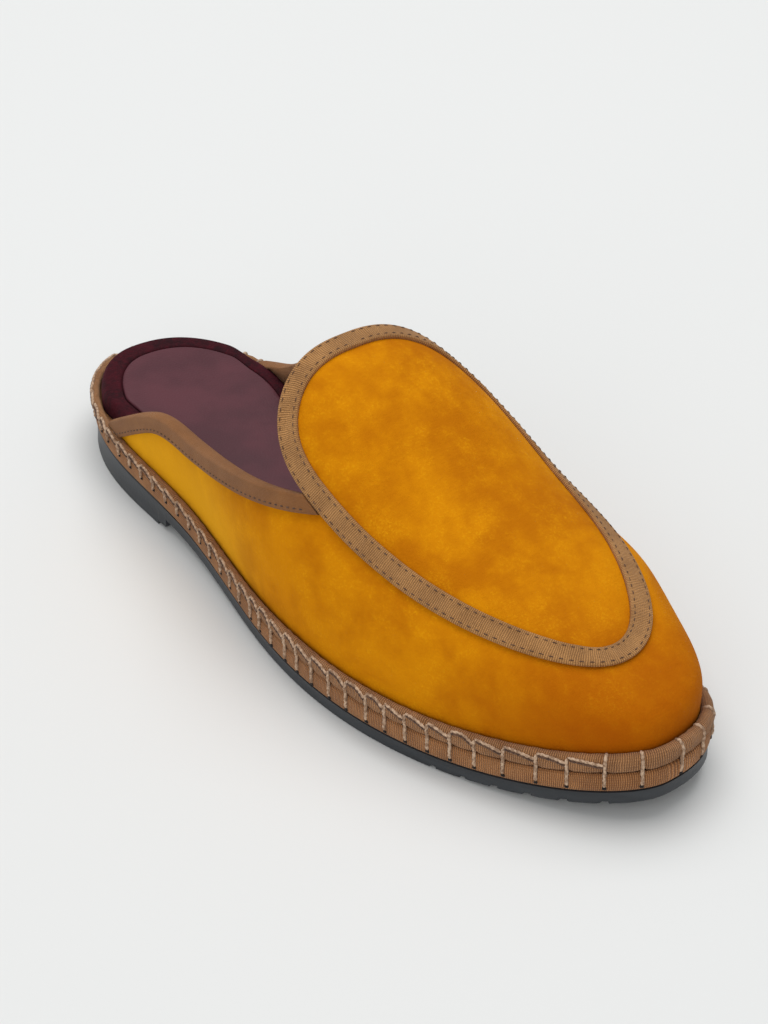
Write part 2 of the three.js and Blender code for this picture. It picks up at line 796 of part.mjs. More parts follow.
// Tape folded over the top edge of one quarter, from the welt up to the ribbon
function makeCollarTape(side, clearance) {
  const meet = apronEdge(side, meetingRow(side));
  const collarAt = collarCurve(side, meet);
  const lowest = insoleTop(quarterBack) - featherHeight(quarterBack) + gap * 2;
  const start = tapeStart(collarAt, lowest + collarTapeRoom * 2);
  const round = tapeThickness * collarTapeRound;
  const outerLift = collarTapeRoom + tapeThickness;
  const innerLift = -upperWall - collarTapeRoom;
  const sections = [];
  let profile;
  for (let i = 0; i <= collarTapeCount; i += 1) {
    const x = lerp(start, meet.cut.x, i / collarTapeCount);
    const turn = turnOver(x);
    const cut = section(turn);
    const height = collarAt(x);
    const slope = collarAt(x + 1) - collarAt(x - 1);
    const stretch = Math.sqrt(1 + (slope * slope) / 4);
    const normal = surfaceNormal({ turn, angle: angleOf(cut, side, outAtHeight(cut, side, height)) });
    const steep = Math.hypot(normal.x, normal.y);
    const outside = Math.max(height - collarTapeWidth * stretch * steep, gap);
    const inside = Math.max(height - collarTapeInside * stretch * steep, lowest);
    const over = (tapeThickness + collarTapeRoom) * stretch;
    const shape = [
      [outside, collarTapeRoom],
      [outside, outerLift - round],
      [outside + round, outerLift],
      [height + over - round * 2, outerLift],
      [height + over, outerLift - round * 2],
      [height + over, innerLift - tapeThickness + round * 2],
      [height + over - round * 2, innerLift - tapeThickness],
      [inside, innerLift - tapeThickness],
      [inside, innerLift],
      [height + collarTapeRoom * stretch, innerLift],
      [height + collarTapeRoom * stretch, collarTapeRoom],
    ];
    if (!profile) profile = shape.map(([up, lift]) => new THREE.Vector2(lift, up));
    sections.push(shape.map(([up, lift]) => wallPoint(cut, side, up, lift)));
  }
  if (side === medial) {
    sections.reverse();
  }
  return toGeometry(toSolid(loft(sections, profile)).subtract(clearance));
}

// A point of the quarter's wall at a height above the welt, moved off it by lift
function wallPoint(cut, side, up, lift) {
  return lifted({ turn: turnOver(cut.x), angle: angleOf(cut, side, outAtHeight(cut, side, up)) }, lift);
}

function finish(name, color, roughness) {
  return new THREE.MeshStandardMaterial({ name, color, roughness, metalness: 0 });
}

const materials = {
  rubber: finish('rubber', 0x303236, 0.75),
  tape: finish('brown_tape', 0x8a6444, 0.85),
  velvet: finish('ochre_velvet', 0xd08c0c, 0.95),
  footbed: finish('wine_velvet', 0x4a1224, 0.9),
  leather: finish('wine_leather', 0x5a3444, 0.5),
};

function piece(name, geometry, material) {
  const mesh = new THREE.Mesh(geometry, material.clone());
  mesh.name = name;
  return mesh;
}

const clearance = ribbonClearance();
const slipper = new THREE.Group();
slipper.add(
  piece('outsole', makeOutsole(), materials.rubber),
  piece('midsole', makeMidsole(), materials.tape),
  piece('welt_roll', makeRoll(), materials.tape),
  piece('insole', makeInsole(), materials.footbed),
  piece('sock_pad', makePad(), materials.leather),
  piece('upper', makeUpper(), materials.velvet),
  piece('apron_ribbon', makeRibbon(), materials.tape),
  piece('collar_tape_lateral', makeCollarTape(lateral, clearance), materials.tape),
  piece('collar_tape_medial', makeCollarTape(medial, clearance), materials.tape),
);

// The origin goes to the middle of the slipper's box, at the floor
const box = new THREE.Box3().setFromObject(slipper);
const middle = box.getCenter(new THREE.Vector3());
slipper.position.set(-middle.x, -middle.y, -box.min.z);

export default slipper;
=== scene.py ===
import bmesh
import bpy
import numpy as np
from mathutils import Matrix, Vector


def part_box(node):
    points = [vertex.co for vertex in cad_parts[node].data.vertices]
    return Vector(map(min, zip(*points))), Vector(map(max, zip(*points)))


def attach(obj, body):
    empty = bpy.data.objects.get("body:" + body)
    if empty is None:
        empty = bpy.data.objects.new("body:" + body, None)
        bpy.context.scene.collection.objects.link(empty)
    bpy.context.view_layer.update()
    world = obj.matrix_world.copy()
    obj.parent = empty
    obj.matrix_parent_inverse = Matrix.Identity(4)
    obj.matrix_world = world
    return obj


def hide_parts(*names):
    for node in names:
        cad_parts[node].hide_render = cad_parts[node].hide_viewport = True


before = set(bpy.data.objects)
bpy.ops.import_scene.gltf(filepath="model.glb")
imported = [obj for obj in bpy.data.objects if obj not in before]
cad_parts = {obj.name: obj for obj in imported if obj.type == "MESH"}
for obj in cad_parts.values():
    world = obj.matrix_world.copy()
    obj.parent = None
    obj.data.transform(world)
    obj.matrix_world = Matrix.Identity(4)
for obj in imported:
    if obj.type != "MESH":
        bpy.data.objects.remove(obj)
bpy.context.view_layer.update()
print("frame loaded")

lateral, medial = -1, 1
mm = 0.001

# Sizes of the slipper in millimetres, in the last's own frame: heel back at x = 0, floor at z = 0
size = {
    "soleLength": 258.0, "heelWidth": 59.5, "waistWidth": 56.0, "ballWidth": 84.5,
    "foreRubber": 4.0, "heelRubber": 9.0, "toeSpring": 7.0, "heelLength": 62.0, "contactEnd": 196.0,
    "treadGroove": 2.2, "treadDepth": 0.7, "treadPitch": 9.0, "treadGrooves": 6,
    "midsole": 6.0, "midsoleProud": 0.7, "rollHeel": 2.5, "rollFore": 5.6, "rollProud": 1.2,
    "insoleHeel": 6.0, "insoleFore": 4.0, "insoleHeelInset": 2.1, "rimWidth": 7.2,
    "padThickness": 1.2, "padInlay": 0.9,
    "wall": 1.8, "featherHeel": 1.6, "featherToe": 3.0, "instep": 66.0, "collar": 42.0,
    "quarterBack": 32.0, "tongueBack": 116.5, "apronFront": 235.3, "apronHalfWidth": 35.4, "toeBox": 80.0,
    "tape": 1.0, "ribbon": 6.2, "ribbonTurnIn": 4.0, "foldRoom": 0.8, "collarTape": 4.2,
    "collarInside": 4.0, "tapeRoom": 0.5,
    "gap": 0.3,
}

# Half outline of the sole from the heel (turn 0) to the toe (turn 1), as shares of a named width
outlineRows = [  # turn, width, lateral, medial
    (0.0, "heelWidth", 0.819, 1.166), (0.125, "heelWidth", 0.775, 0.932), (0.25, "heelWidth", 0.686, 0.715),
    (0.375, "waistWidth", 0.629, 0.446), (0.5, "ballWidth", 0.499, 0.345), (0.625, "ballWidth", 0.562, 0.514),
    (0.75, "ballWidth", 0.528, 0.553), (0.875, "ballWidth", 0.476, 0.719), (1.0, "ballWidth", 0.412, 0.865),
]

# The last above the welt, along the sole's length: crown as a share of the instep, ridge and swell
# as shares of the ball width, squareness of each side
bodyRows = np.array([  # at, crown, ridge, swellLateral, swellMedial, squareLateral, squareMedial
    (0.0, 0.99, 0.0, 0.0, 0.0, 2.3, 2.3),
    (0.2, 0.99, -0.03, 0.004, 0.01, 2.4, 2.5),
    (0.36, 0.985, -0.046, 0.03, 0.095, 2.6, 2.8),
    (0.46, 0.998, -0.033, 0.04, 0.155, 2.4, 2.72),
    (0.56, 0.859, -0.01, 0.02, 0.13, 2.2, 2.45),
    (0.66, 0.675, 0.006, 0.004, 0.074, 2.1, 2.3),
    (0.76, 0.542, 0.014, 0.0, 0.088, 2.15, 2.41),
    (0.88, 0.395, 0.022, 0.0, 0.027, 2.55, 3.65),
    (1.0, 0.283, 0.036, 0.0, 0.0, 2.8, 3.6),
])
toeRoundness, swellTop, tipEasing = 2.8, 0.55, 24

# Half widths of the apron from the tongue (0) to the toe (1), and how round its two ends are
apronTable = np.array([  # along, lateral, medial
    (0.0, 1.14, 1.25), (0.2, 0.996, 1.122), (0.4, 0.926, 0.997),
    (0.6, 0.845, 0.912), (0.8, 0.758, 0.838), (1.0, 0.669, 0.783),
])
tongueRoundness, apronToeRoundness = 2.9, 2.16
apronRows = 28

# Height of the collar above the welt along the sole's length, as a share of the collar height
collarTable = np.array([  # at, lateral, medial
    (0.124, 0.0, 0.0), (0.16, 0.158, 0.093), (0.2, 0.328, 0.228), (0.235, 0.45, 0.384),
    (0.27, 0.515, 0.474), (0.31, 0.558, 0.546), (0.36, 0.641, 0.646), (0.42, 0.748, 0.767),
    (0.48, 0.83, 0.854), (0.54, 0.897, 0.918), (0.62, 0.994, 1.009),
])


def naturalSpline(xs, ys):
    # Natural cubic spline: second derivatives from one tridiagonal system, then cubic blends
    xs, ys = np.asarray(xs, float), np.asarray(ys, float)
    step, count = np.diff(xs), len(xs)
    system, pull = np.eye(count), np.zeros(count)
    rows = np.arange(1, count - 1)
    system[rows, rows - 1] = step[:-1]
    system[rows, rows] = 2 * (step[:-1] + step[1:])
    system[rows, rows + 1] = step[1:]
    slopes = np.diff(ys) / step
    pull[rows] = 6 * (slopes[1:] - slopes[:-1])
    bend = np.linalg.solve(system, pull)

    def evaluate(at):
        x = np.clip(at, xs[0], xs[-1])
        i = np.clip(np.searchsorted(xs, x, side="right") - 1, 0, count - 2)
        right = (x - xs[i]) / step[i]
        left = 1 - right
        curl = (left ** 3 - left) * bend[i] + (right ** 3 - right) * bend[i + 1]
        return left * ys[i] + right * ys[i + 1] + curl * step[i] ** 2 / 6

    return evaluate


def smoothStep(low, high, value):
    share = np.clip((value - low) / (high - low), 0, 1)
    return share * share * (3 - 2 * share)


def lerp(a, b, share):
    return a + (b - a) * share


def unit(vectors, least=0.0):
    # The same vectors at length 1; shorter ones than least stay short
    return vectors / np.maximum(np.linalg.norm(vectors, axis=-1, keepdims=True), least)


def travelAlong(points, axis=0):
    # Distance travelled along each row of points, from 0 at its first point
    steps = np.linalg.norm(np.diff(points, axis=axis), axis=-1)
    return np.insert(np.cumsum(steps, axis=axis), 0, 0, axis=axis)


def readAlong(at, travelled, values):
    # Points or directions known at travelled distances, read off at other distances
    return np.stack([np.interp(at, travelled, column) for column in values.T], axis=-1)


def closedRing(points):
    return np.concatenate([points, points[:1]])


def sideCurves(table, *columns):
    # One spline for each side, from the table's lateral and medial columns
    return {side: naturalSpline(table[:, 0], table[:, column])
            for side, column in zip((lateral, medial), columns)}


outlineTurns = [row[0] for row in outlineRows]
outline = {side: naturalSpline(outlineTurns, [row[column] * size[row[1]] for row in outlineRows])
           for side, column in ((lateral, 2), (medial, 3))}
crownShare, ridgeShare = (naturalSpline(bodyRows[:, 0], bodyRows[:, k]) for k in (1, 2))
swellShare, squareness = sideCurves(bodyRows, 3, 4), sideCurves(bodyRows, 5, 6)
apronShare, collarShare = sideCurves(apronTable, 1, 2), sideCurves(collarTable, 1, 2)


def pick(side, pair):
    return np.where(np.asarray(side) < 0, pair[lateral], pair[medial])


def edge(side, turn, inset):
    # Sole outline: x is a cosine of the turn, y a sine of it times the half width, less the inset
    angle = np.pi * turn
    half = np.where(np.asarray(side) < 0, outline[lateral](turn), outline[medial](turn))
    x = size["soleLength"] * (1 - np.cos(angle)) / 2 + inset * np.cos(angle)
    return x, side * np.sin(angle) * (half - inset)


def turnAt(x, inset):
    half = size["soleLength"] / 2
    return np.arccos(np.clip((half - x) / (half - inset), -1, 1)) / np.pi


def rubberTop(x):
    # Height of the rubber's top face: level under the ball, raised at the heel, sprung at the toe
    fall = 1 - smoothStep(0.12, 0.58, x / size["soleLength"])
    rise = np.clip((x - size["contactEnd"]) / (size["soleLength"] - size["contactEnd"]), 0, 1) ** 2
    return size["foreRubber"] + (size["heelRubber"] - size["foreRubber"]) * fall + size["toeSpring"] * rise


def midsoleBottom(x):
    return rubberTop(x) + size["gap"]


def midsoleTop(x):
    return midsoleBottom(x) + size["midsole"]


def rollBottom(x):
    return midsoleTop(x) + size["gap"]


def rollHeight(x):
    return lerp(size["rollHeel"], size["rollFore"], smoothStep(0.36, 0.6, x / size["soleLength"]))


def featherHeight(x):
    return rollBottom(x) + rollHeight(x)


def featherInset(turn):
    return lerp(size["featherHeel"], size["featherToe"], smoothStep(0.45, 0.95, turn))


def insoleTop(x):
    share = smoothStep(0.2, 0.6, x / size["soleLength"])
    return midsoleTop(x) + size["gap"] + lerp(size["insoleHeel"], size["insoleFore"], share)


def insoleInset(turn):
    inUpper = featherInset(turn) + size["wall"] + size["gap"] * 4
    return lerp(size["insoleHeelInset"], inUpper, smoothStep(0.17, 0.21, turn))


def section(turn):
    # The last's section at one turn: its two feather points and how it rises between them
    inset = featherInset(turn)
    xLateral, yLateral = edge(lateral, turn, inset)
    yMedial = edge(medial, turn, inset)[1]
    at = np.clip(xLateral / size["soleLength"], 0, 1)
    tip = size["soleLength"] - size["featherToe"]
    intoToe = np.clip((xLateral - tip + size["toeBox"]) / size["toeBox"], 0, 1)
    toeFall = (1 - intoToe ** toeRoundness) ** (1 / toeRoundness)
    ridge = ridgeShare(at) * size["ballWidth"] * (1 - intoToe ** tipEasing)
    ridge = np.clip(ridge, yLateral, yMedial)
    swell = {side: np.maximum(0, swellShare[side](at)) * size["ballWidth"] for side in (lateral, medial)}
    opening = {lateral: ridge - yLateral, medial: yMedial - ridge}
    return {
        "x": xLateral, "ridge": ridge, "base": featherHeight(xLateral),
        "crown": np.maximum(crownShare(at) * size["instep"] * toeFall, 0.01),
        "swell": swell, "open": opening, "half": {side: opening[side] + swell[side] for side in opening},
        "power": {side: squareness[side](at) for side in (lateral, medial)},
    }


def bodyPoint(cut, side, out):
    # Superellipse over the section: out runs from 0 on the ridge to 1 at the feather
    power = pick(side, cut["power"])
    out = np.clip(out, 0, 1)
    lift = (1 - out ** power) ** (1 / power)
    tuck = np.clip(1 - lift / swellTop, 0, 1) ** 2
    y = cut["ridge"] + side * (out * pick(side, cut["half"]) - pick(side, cut["swell"]) * tuck)
    x, y, z = np.broadcast_arrays(cut["x"], y, cut["base"] + cut["crown"] * lift)
    return np.stack([x, y, z], axis=-1)


def outAtHeight(cut, side, height):
    # The superellipse of bodyPoint, solved for out at a height above the feather
    power = pick(side, cut["power"])
    return (1 - np.clip(height / np.maximum(cut["crown"], 1e-6), 0, 1) ** power) ** (1 / power)


def bodyAt(turn, angle):
    # The same surface by angle: 0 at the lateral feather, a right angle on the ridge, then medial
    cut = section(turn)
    side = np.where(angle < np.pi / 2, lateral, medial)
    return bodyPoint(cut, side, np.abs(np.cos(angle)) ** (2 / pick(side, cut["power"])))


def turnOver(x):
    return turnAt(x, featherInset(turnAt(x, size["featherHeel"])))


def angleOf(cut, side, out):
    # The inverse of bodyAt's angle: arc cosine of out to half the section's power
    fromFeather = np.arccos(np.clip(out, 0, 1) ** (pick(side, cut["power"]) / 2))
    return np.where(np.asarray(side) < 0, fromFeather, np.pi - fromFeather)


def placeNear(points):
    # Turn and angle at which the ray from a section's middle through a point meets the surface
    turn = turnOver(points[..., 0])
    cut = section(turn)
    side = np.where(points[..., 1] < cut["ridge"], lateral, medial)
    across = np.abs(points[..., 1] - cut["ridge"]) / pick(side, cut["half"])
    up = np.maximum(0, points[..., 2] - cut["base"]) / cut["crown"]
    power = pick(side, cut["power"])
    reach = (across ** power + up ** power) ** (1 / power)
    return turn, angleOf(cut, side, across / np.maximum(reach, 1e-9))


normalLook = {"turnStep": 0.002, "angleStep": 0.01, "firstTurn": 0.004, "lastTurn": 0.99, "angleMargin": 0.02}


def surfaceNormal(turn, angle):
    # Square to a small step along the last and a small step over it, kept clear of the last's ends
    along, over, margin = (normalLook[label] for label in ("turnStep", "angleStep", "angleMargin"))
    turn = np.clip(turn, normalLook["firstTurn"], normalLook["lastTurn"])
    angle = np.clip(angle, margin, np.pi - margin)
    onward = bodyAt(turn + along, angle) - bodyAt(turn - along, angle)
    across = bodyAt(turn, angle + over) - bodyAt(turn, angle - over)
    return unit(np.cross(onward, across), 1e-9)


def lifted(turn, angle, lift):
    return bodyAt(turn, angle) + surfaceNormal(turn, angle) * np.asarray(lift)[..., None]


def apronClosing(along):
    # The apron's outline closes at both ends as a superellipse of the share along it
    fromMiddle = 2 * along - 1
    roundness = np.where(fromMiddle < 0, tongueRoundness, apronToeRoundness)
    return np.clip(1 - np.abs(fromMiddle) ** roundness, 0, 1) ** (1 / roundness)


# Distance travelled along the apron's edge, so that its rows are evenly spaced
edgeShares = (1 - np.cos(np.linspace(0, np.pi, 6001))) / 2
edgeTravelled = travelAlong(np.stack([edgeShares * (size["apronFront"] - size["tongueBack"]),
                                      apronClosing(edgeShares) * size["apronHalfWidth"]], axis=1))


def apronEdge(side, row):
    # Outline of the apron; its row number runs from the tongue (0) to the toe (apronRows)
    along = np.interp(row * edgeTravelled[-1] / apronRows, edgeTravelled, edgeShares)
    cut = section(turnOver(lerp(size["tongueBack"], size["apronFront"], along)))
    share = np.where(np.asarray(side) < 0, apronShare[lateral](along), apronShare[medial](along))
    reach = share * size["apronHalfWidth"] * apronClosing(along)
    return cut, np.clip(reach / pick(side, cut["half"]), 0, 0.97)


def meetingRow(side):
    # The apron row nearest to the collar's height, in its fore half: there the quarter meets the apron
    rows = np.arange(1, apronRows)
    cut, out = apronEdge(side, rows)
    height = bodyPoint(cut, side, out)[:, 2] - cut["base"]
    miss = np.abs(height - collarShare[side](cut["x"] / size["soleLength"]) * size["collar"])
    return int(rows[np.argmin(np.where(cut["x"] > size["soleLength"] / 2, miss, np.inf))])


def collarCurve(side):
    # Collar height over x, eased so that it ends exactly on the apron's edge
    cut, out = apronEdge(side, meetingRow(side))
    meetX, meetHeight = float(cut["x"]), float(bodyPoint(cut, side, out)[2] - cut["base"])
    start, back = collarTable[0, 0], size["quarterBack"]

    def table(x):
        share = (x - back) / (meetX - back)
        return collarShare[side](start + share * (meetX / size["soleLength"] - start)) * size["collar"]

    missing = meetHeight - table(meetX)
    return lambda x: table(x) + missing * smoothStep(0.45, 1, (x - back) / (meetX - back))


# The last's frame against the part's: both measure the same outsole
turnsAll = np.linspace(0, 1, 2001)
lowLast = np.array([0, edge(lateral, turnsAll, 0)[1].min(), 0])
highLast = np.array([size["soleLength"], edge(medial, turnsAll, 0)[1].max(), 0])
outsoleLow, outsoleHigh = (np.array(corner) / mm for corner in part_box("outsole"))
toPart = ((outsoleLow + outsoleHigh) - (lowLast + highLast)) / 2
toPart[2] = 0


def gridFaces(rows, columns, wrapRows, wrapColumns, flip):
    # Quads between neighbouring rows and columns, as corner indices into the flat grid
    i = np.arange(rows if wrapRows else rows - 1)[:, None]
    j = np.arange(columns if wrapColumns else columns - 1)[None, :]
    iNext, jNext = (i + 1) % rows, (j + 1) % columns
    corners = [i * columns + j, iNext * columns + j, iNext * columns + jNext, i * columns + jNext]
    corners = [np.broadcast_to(corner, (i.shape[0], j.shape[1])).reshape(-1) for corner in corners]
    return np.stack(corners[::-1] if flip else corners, axis=1)


def gridUv(rows, columns, wrapRows, wrapColumns, flip, along, across):
    # The same quads' corners in millimetres along and across the piece, running on past a wrap
    i = np.arange(rows if wrapRows else rows - 1)[:, None]
    j = np.arange(columns if wrapColumns else columns - 1)[None, :]
    pairs = [(i, j), (i + 1, j), (i + 1, j + 1), (i, j + 1)]
    shape = (i.shape[0], j.shape[1])
    corners = [np.stack([np.broadcast_to(along[a, np.minimum(b, along.shape[1] - 1)], shape).reshape(-1),
                         np.broadcast_to(across[b], shape).reshape(-1)], axis=1) for a, b in pairs]
    return np.stack(corners[::-1] if flip else corners, axis=1)


class Surface:
    # Gathers grids of points, in the last's frame, into one mesh with a map in millimetres
    def __init__(self):
        self.points, self.faces, self.uvs, self.count = [], [], [], 0

    def add(self, grid, wrapRows=False, wrapColumns=False, flip=False, along=None, across=None):
        rows, columns = grid.shape[:2]
        ring = closedRing(grid) if wrapRows else grid
        strip = np.concatenate([ring, ring[:, :1]], axis=1) if wrapColumns else ring
        if along is None:
            along = travelAlong(ring)
        if along.ndim == 1:
            along = np.repeat(along[:, None], columns, axis=1)
        if across is None:
            across = travelAlong(strip[strip.shape[0] // 2])
        self.points.append(grid.reshape(-1, 3))
        self.faces.append(gridFaces(rows, columns, wrapRows, wrapColumns, flip) + self.count)
        self.uvs.append(gridUv(rows, columns, wrapRows, wrapColumns, flip, along, across))
        self.count += rows * columns

    def build(self, name, materials, node=None, closed=True, weld=0.002):
        points = (np.concatenate(self.points) + toPart) * mm
        faces, uvs = np.concatenate(self.faces), np.concatenate(self.uvs)
        mesh = bpy.data.meshes.new(name)
        mesh.vertices.add(len(points))
        mesh.vertices.foreach_set("co", points.ravel())
        mesh.loops.add(faces.size)
        mesh.loops.foreach_set("vertex_index", faces.ravel())
        mesh.polygons.add(len(faces))
        mesh.polygons.foreach_set("loop_start", np.arange(0, faces.size, 4))
        mesh.update(calc_edges=True)
        layer = mesh.uv_layers.new(name="millimetres")
        layer.data.foreach_set("uv", uvs.reshape(-1))
        work = bmesh.new()
        work.from_mesh(mesh)
        bmesh.ops.remove_doubles(work, verts=work.verts, dist=weld * mm)
        bmesh.ops.dissolve_degenerate(work, edges=work.edges, dist=weld * mm * 0.5)
        if closed:
            bmesh.ops.recalc_face_normals(work, faces=work.faces)
        work.to_mesh(mesh)
        work.free()
        mesh.shade_smooth()
        for material in materials:
            mesh.materials.append(material)
        piece = bpy.data.objects.new(name, mesh)
        bpy.context.scene.collection.objects.link(piece)
        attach(piece, "root")
        if node:
            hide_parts(node)
        return piece


def makePiece(grid, name, material, node, slot, weld=0.002, **options):
    surface = Surface()
    surface.add(grid, **options)
    return surface.build(name, [material], node=node, weld=weld)


# Shader groups and materials

def newGroup(name, inputs, outputs):
    group = bpy.data.node_groups.new(name, "ShaderNodeTree")
    for label, kind, value in inputs:
        socket = group.interface.new_socket(label, in_out="INPUT", socket_type=kind)
        if value is not None:
            socket.default_value = value
    for label, kind in outputs:
        group.interface.new_socket(label, in_out="OUTPUT", socket_type=kind)
    return group, group.nodes.new("NodeGroupInput"), group.nodes.new("NodeGroupOutput")


def wire(tree, source, target):
    tree.links.new(source, target)


def mathNode(tree, operation, a, b=None):
    node = tree.nodes.new("ShaderNodeMath")
    node.operation = operation
    for slot, value in enumerate((a, b)):
        if value is None:
            continue
        if isinstance(value, (int, float)):
            node.inputs[slot].default_value = value
        else:
            wire(tree, value, node.inputs[slot])
    return node.outputs[0]


def times(tree, a, b):
    return mathNode(tree, "MULTIPLY", a, b)


def scaled(tree, value, scale, start):
    return mathNode(tree, "ADD", times(tree, value, scale), start)


def mixColor(tree, share, a, b):
    node = tree.nodes.new("ShaderNodeMix")
    node.data_type = "RGBA"
    for socket, value in ((node.inputs["Factor"], share), (node.inputs[6], a), (node.inputs[7], b)):
        if isinstance(value, (int, float, tuple)):
            socket.default_value = value
        else:
            wire(tree, value, socket)
    return node.outputs[2]


def noiseNode(tree, vector, scale, detail=2.0, roughness=0.5, distortion=0.0):
    node = tree.nodes.new("ShaderNodeTexNoise")
    node.inputs["Detail"].default_value = detail
    node.inputs["Roughness"].default_value = roughness
    node.inputs["Distortion"].default_value = distortion
    if isinstance(scale, (int, float)):
        node.inputs["Scale"].default_value = scale
    else:
        wire(tree, scale, node.inputs["Scale"])
    wire(tree, vector, node.inputs["Vector"])
    return node.outputs[0]


def rampNode(tree, value, low, high):
    node = tree.nodes.new("ShaderNodeMapRange")
    node.interpolation_type = "SMOOTHSTEP"
    node.inputs["From Min"].default_value = low
    node.inputs["From Max"].default_value = high
    wire(tree, value, node.inputs["Value"])
    return node.outputs[0]


def stretched(tree, vector, scale):
    node = tree.nodes.new("ShaderNodeMapping")
    node.inputs["Scale"].default_value = scale
    wire(tree, vector, node.inputs["Vector"])
    return node.outputs[0]


def makeMottleGroup():
    # Two sizes of cloud between three colours, and a fine speckle as height
    group, start, end = newGroup("mottledPile", [
        ("Vector", "NodeSocketVector", None), ("Cloud Scale", "NodeSocketFloat", 40.0),
        ("Fleck Scale", "NodeSocketFloat", 900.0), ("Dark", "NodeSocketColor", (0, 0, 0, 1)),
        ("Middle", "NodeSocketColor", (0.5, 0.5, 0.5, 1)), ("Light", "NodeSocketColor", (1, 1, 1, 1)),
    ], [("Color", "NodeSocketColor"), ("Height", "NodeSocketFloat"), ("Mask", "NodeSocketFloat")])
    vector = start.outputs["Vector"]
    cloud = noiseNode(group, vector, start.outputs["Cloud Scale"], 3.0, 0.6, 0.6)
    small = noiseNode(group, vector, times(group, start.outputs["Cloud Scale"], 4.3), 3.0, 0.65)
    fleck = noiseNode(group, vector, start.outputs["Fleck Scale"], 2.0, 0.7)
    clouds = mathNode(group, "ADD", times(group, cloud, 0.65), times(group, small, 0.35))
    mask = rampNode(group, clouds, 0.36, 0.62)
    color = mixColor(group, mask, start.outputs["Dark"], start.outputs["Middle"])
    bright = times(group, rampNode(group, fleck, 0.45, 0.75), rampNode(group, small, 0.4, 0.7))
    color = mixColor(group, times(group, bright, 0.55), color, start.outputs["Light"])
    wire(group, color, end.inputs["Color"])
    wire(group, fleck, end.inputs["Height"])
    wire(group, mask, end.inputs["Mask"])
    return group


def makeRibGroup():
    # Woven tape: fine ribs across its length, warp threads over them, painted shade in the rib troughs and a
    # soft change of colour
    group, start, end = newGroup("wovenRibs", [
        ("Map", "NodeSocketVector", None), ("Vector", "NodeSocketVector", None),
        ("Rib Pitch", "NodeSocketFloat", 0.55), ("Warp Pitch", "NodeSocketFloat", 0.42),
        ("Dark", "NodeSocketColor", (0, 0, 0, 1)), ("Light", "NodeSocketColor", (1, 1, 1, 1)),
    ], [("Color", "NodeSocketColor"), ("Height", "NodeSocketFloat")])
    split = group.nodes.new("ShaderNodeSeparateXYZ")
    wire(group, start.outputs["Map"], split.inputs[0])
    wobble = times(group, noiseNode(group, start.outputs["Vector"], 220.0, 2.0), 0.9)

    def wave(value, pitch):
        turned = times(group, mathNode(group, "DIVIDE", value, pitch), 2 * np.pi)
        return scaled(group, mathNode(group, "SINE", turned), 0.5, 0.5)

    rib = wave(mathNode(group, "ADD", split.outputs[0], wobble), start.outputs["Rib Pitch"])
    warp = wave(split.outputs[1], start.outputs["Warp Pitch"])
    height = times(group, rib, scaled(group, warp, 0.45, 0.55))
    fuzz = noiseNode(group, start.outputs["Vector"], 1500.0, 2.0, 0.7)
    cloud = noiseNode(group, start.outputs["Vector"], 120.0, 3.0, 0.6)
    noises = mathNode(group, "ADD", times(group, cloud, 0.6), times(group, fuzz, 0.25))
    # Darker where the ribs are low: painted shade in the troughs, mixed with random tone from the clouds and
    # fuzz
    shade = rampNode(group, mathNode(group, "ADD", times(group, height, 0.55), noises), 0.35, 1.0)
    wire(group, mixColor(group, shade, start.outputs["Dark"], start.outputs["Light"]), end.inputs["Color"])
    wire(group, mathNode(group, "ADD", height, times(group, fuzz, 0.3)), end.inputs["Height"])
    return group


mottleGroup, ribGroup = makeMottleGroup(), makeRibGroup()


def newMaterial(name, **constants):
    material = bpy.data.materials.new(name)
    material.use_nodes = True
    tree = material.node_tree
    shader = next(node for node in tree.nodes if node.type == "BSDF_PRINCIPLED")
    for label, value in constants.items():
        shader.inputs[label.replace("_", " ")].default_value = value
    coordinates = tree.nodes.new("ShaderNodeTexCoord")
    return material, tree, shader, coordinates


def useGroup(tree, group, values, **links):
    node = tree.nodes.new("ShaderNodeGroup")
    node.node_tree = group
    for label, value in values.items():
        node.inputs[label].default_value = value
    for label, source in links.items():
        wire(tree, source, node.inputs[label])
    return node


def addBump(tree, shader, height, distance, strength=1.0, normal=None):
    bump = tree.nodes.new("ShaderNodeBump")
    bump.inputs["Distance"].default_value = distance
    bump.inputs["Strength"].default_value = strength
    wire(tree, height, bump.inputs["Height"])
    if normal is not None:
        wire(tree, normal, bump.inputs["Normal"])
    wire(tree, bump.outputs[0], shader.inputs["Normal"])
    return bump.outputs[0]


def paint(tree, shader, share, dark, light):
    wire(tree, mixColor(tree, share, dark, light), shader.inputs["Base Color"])


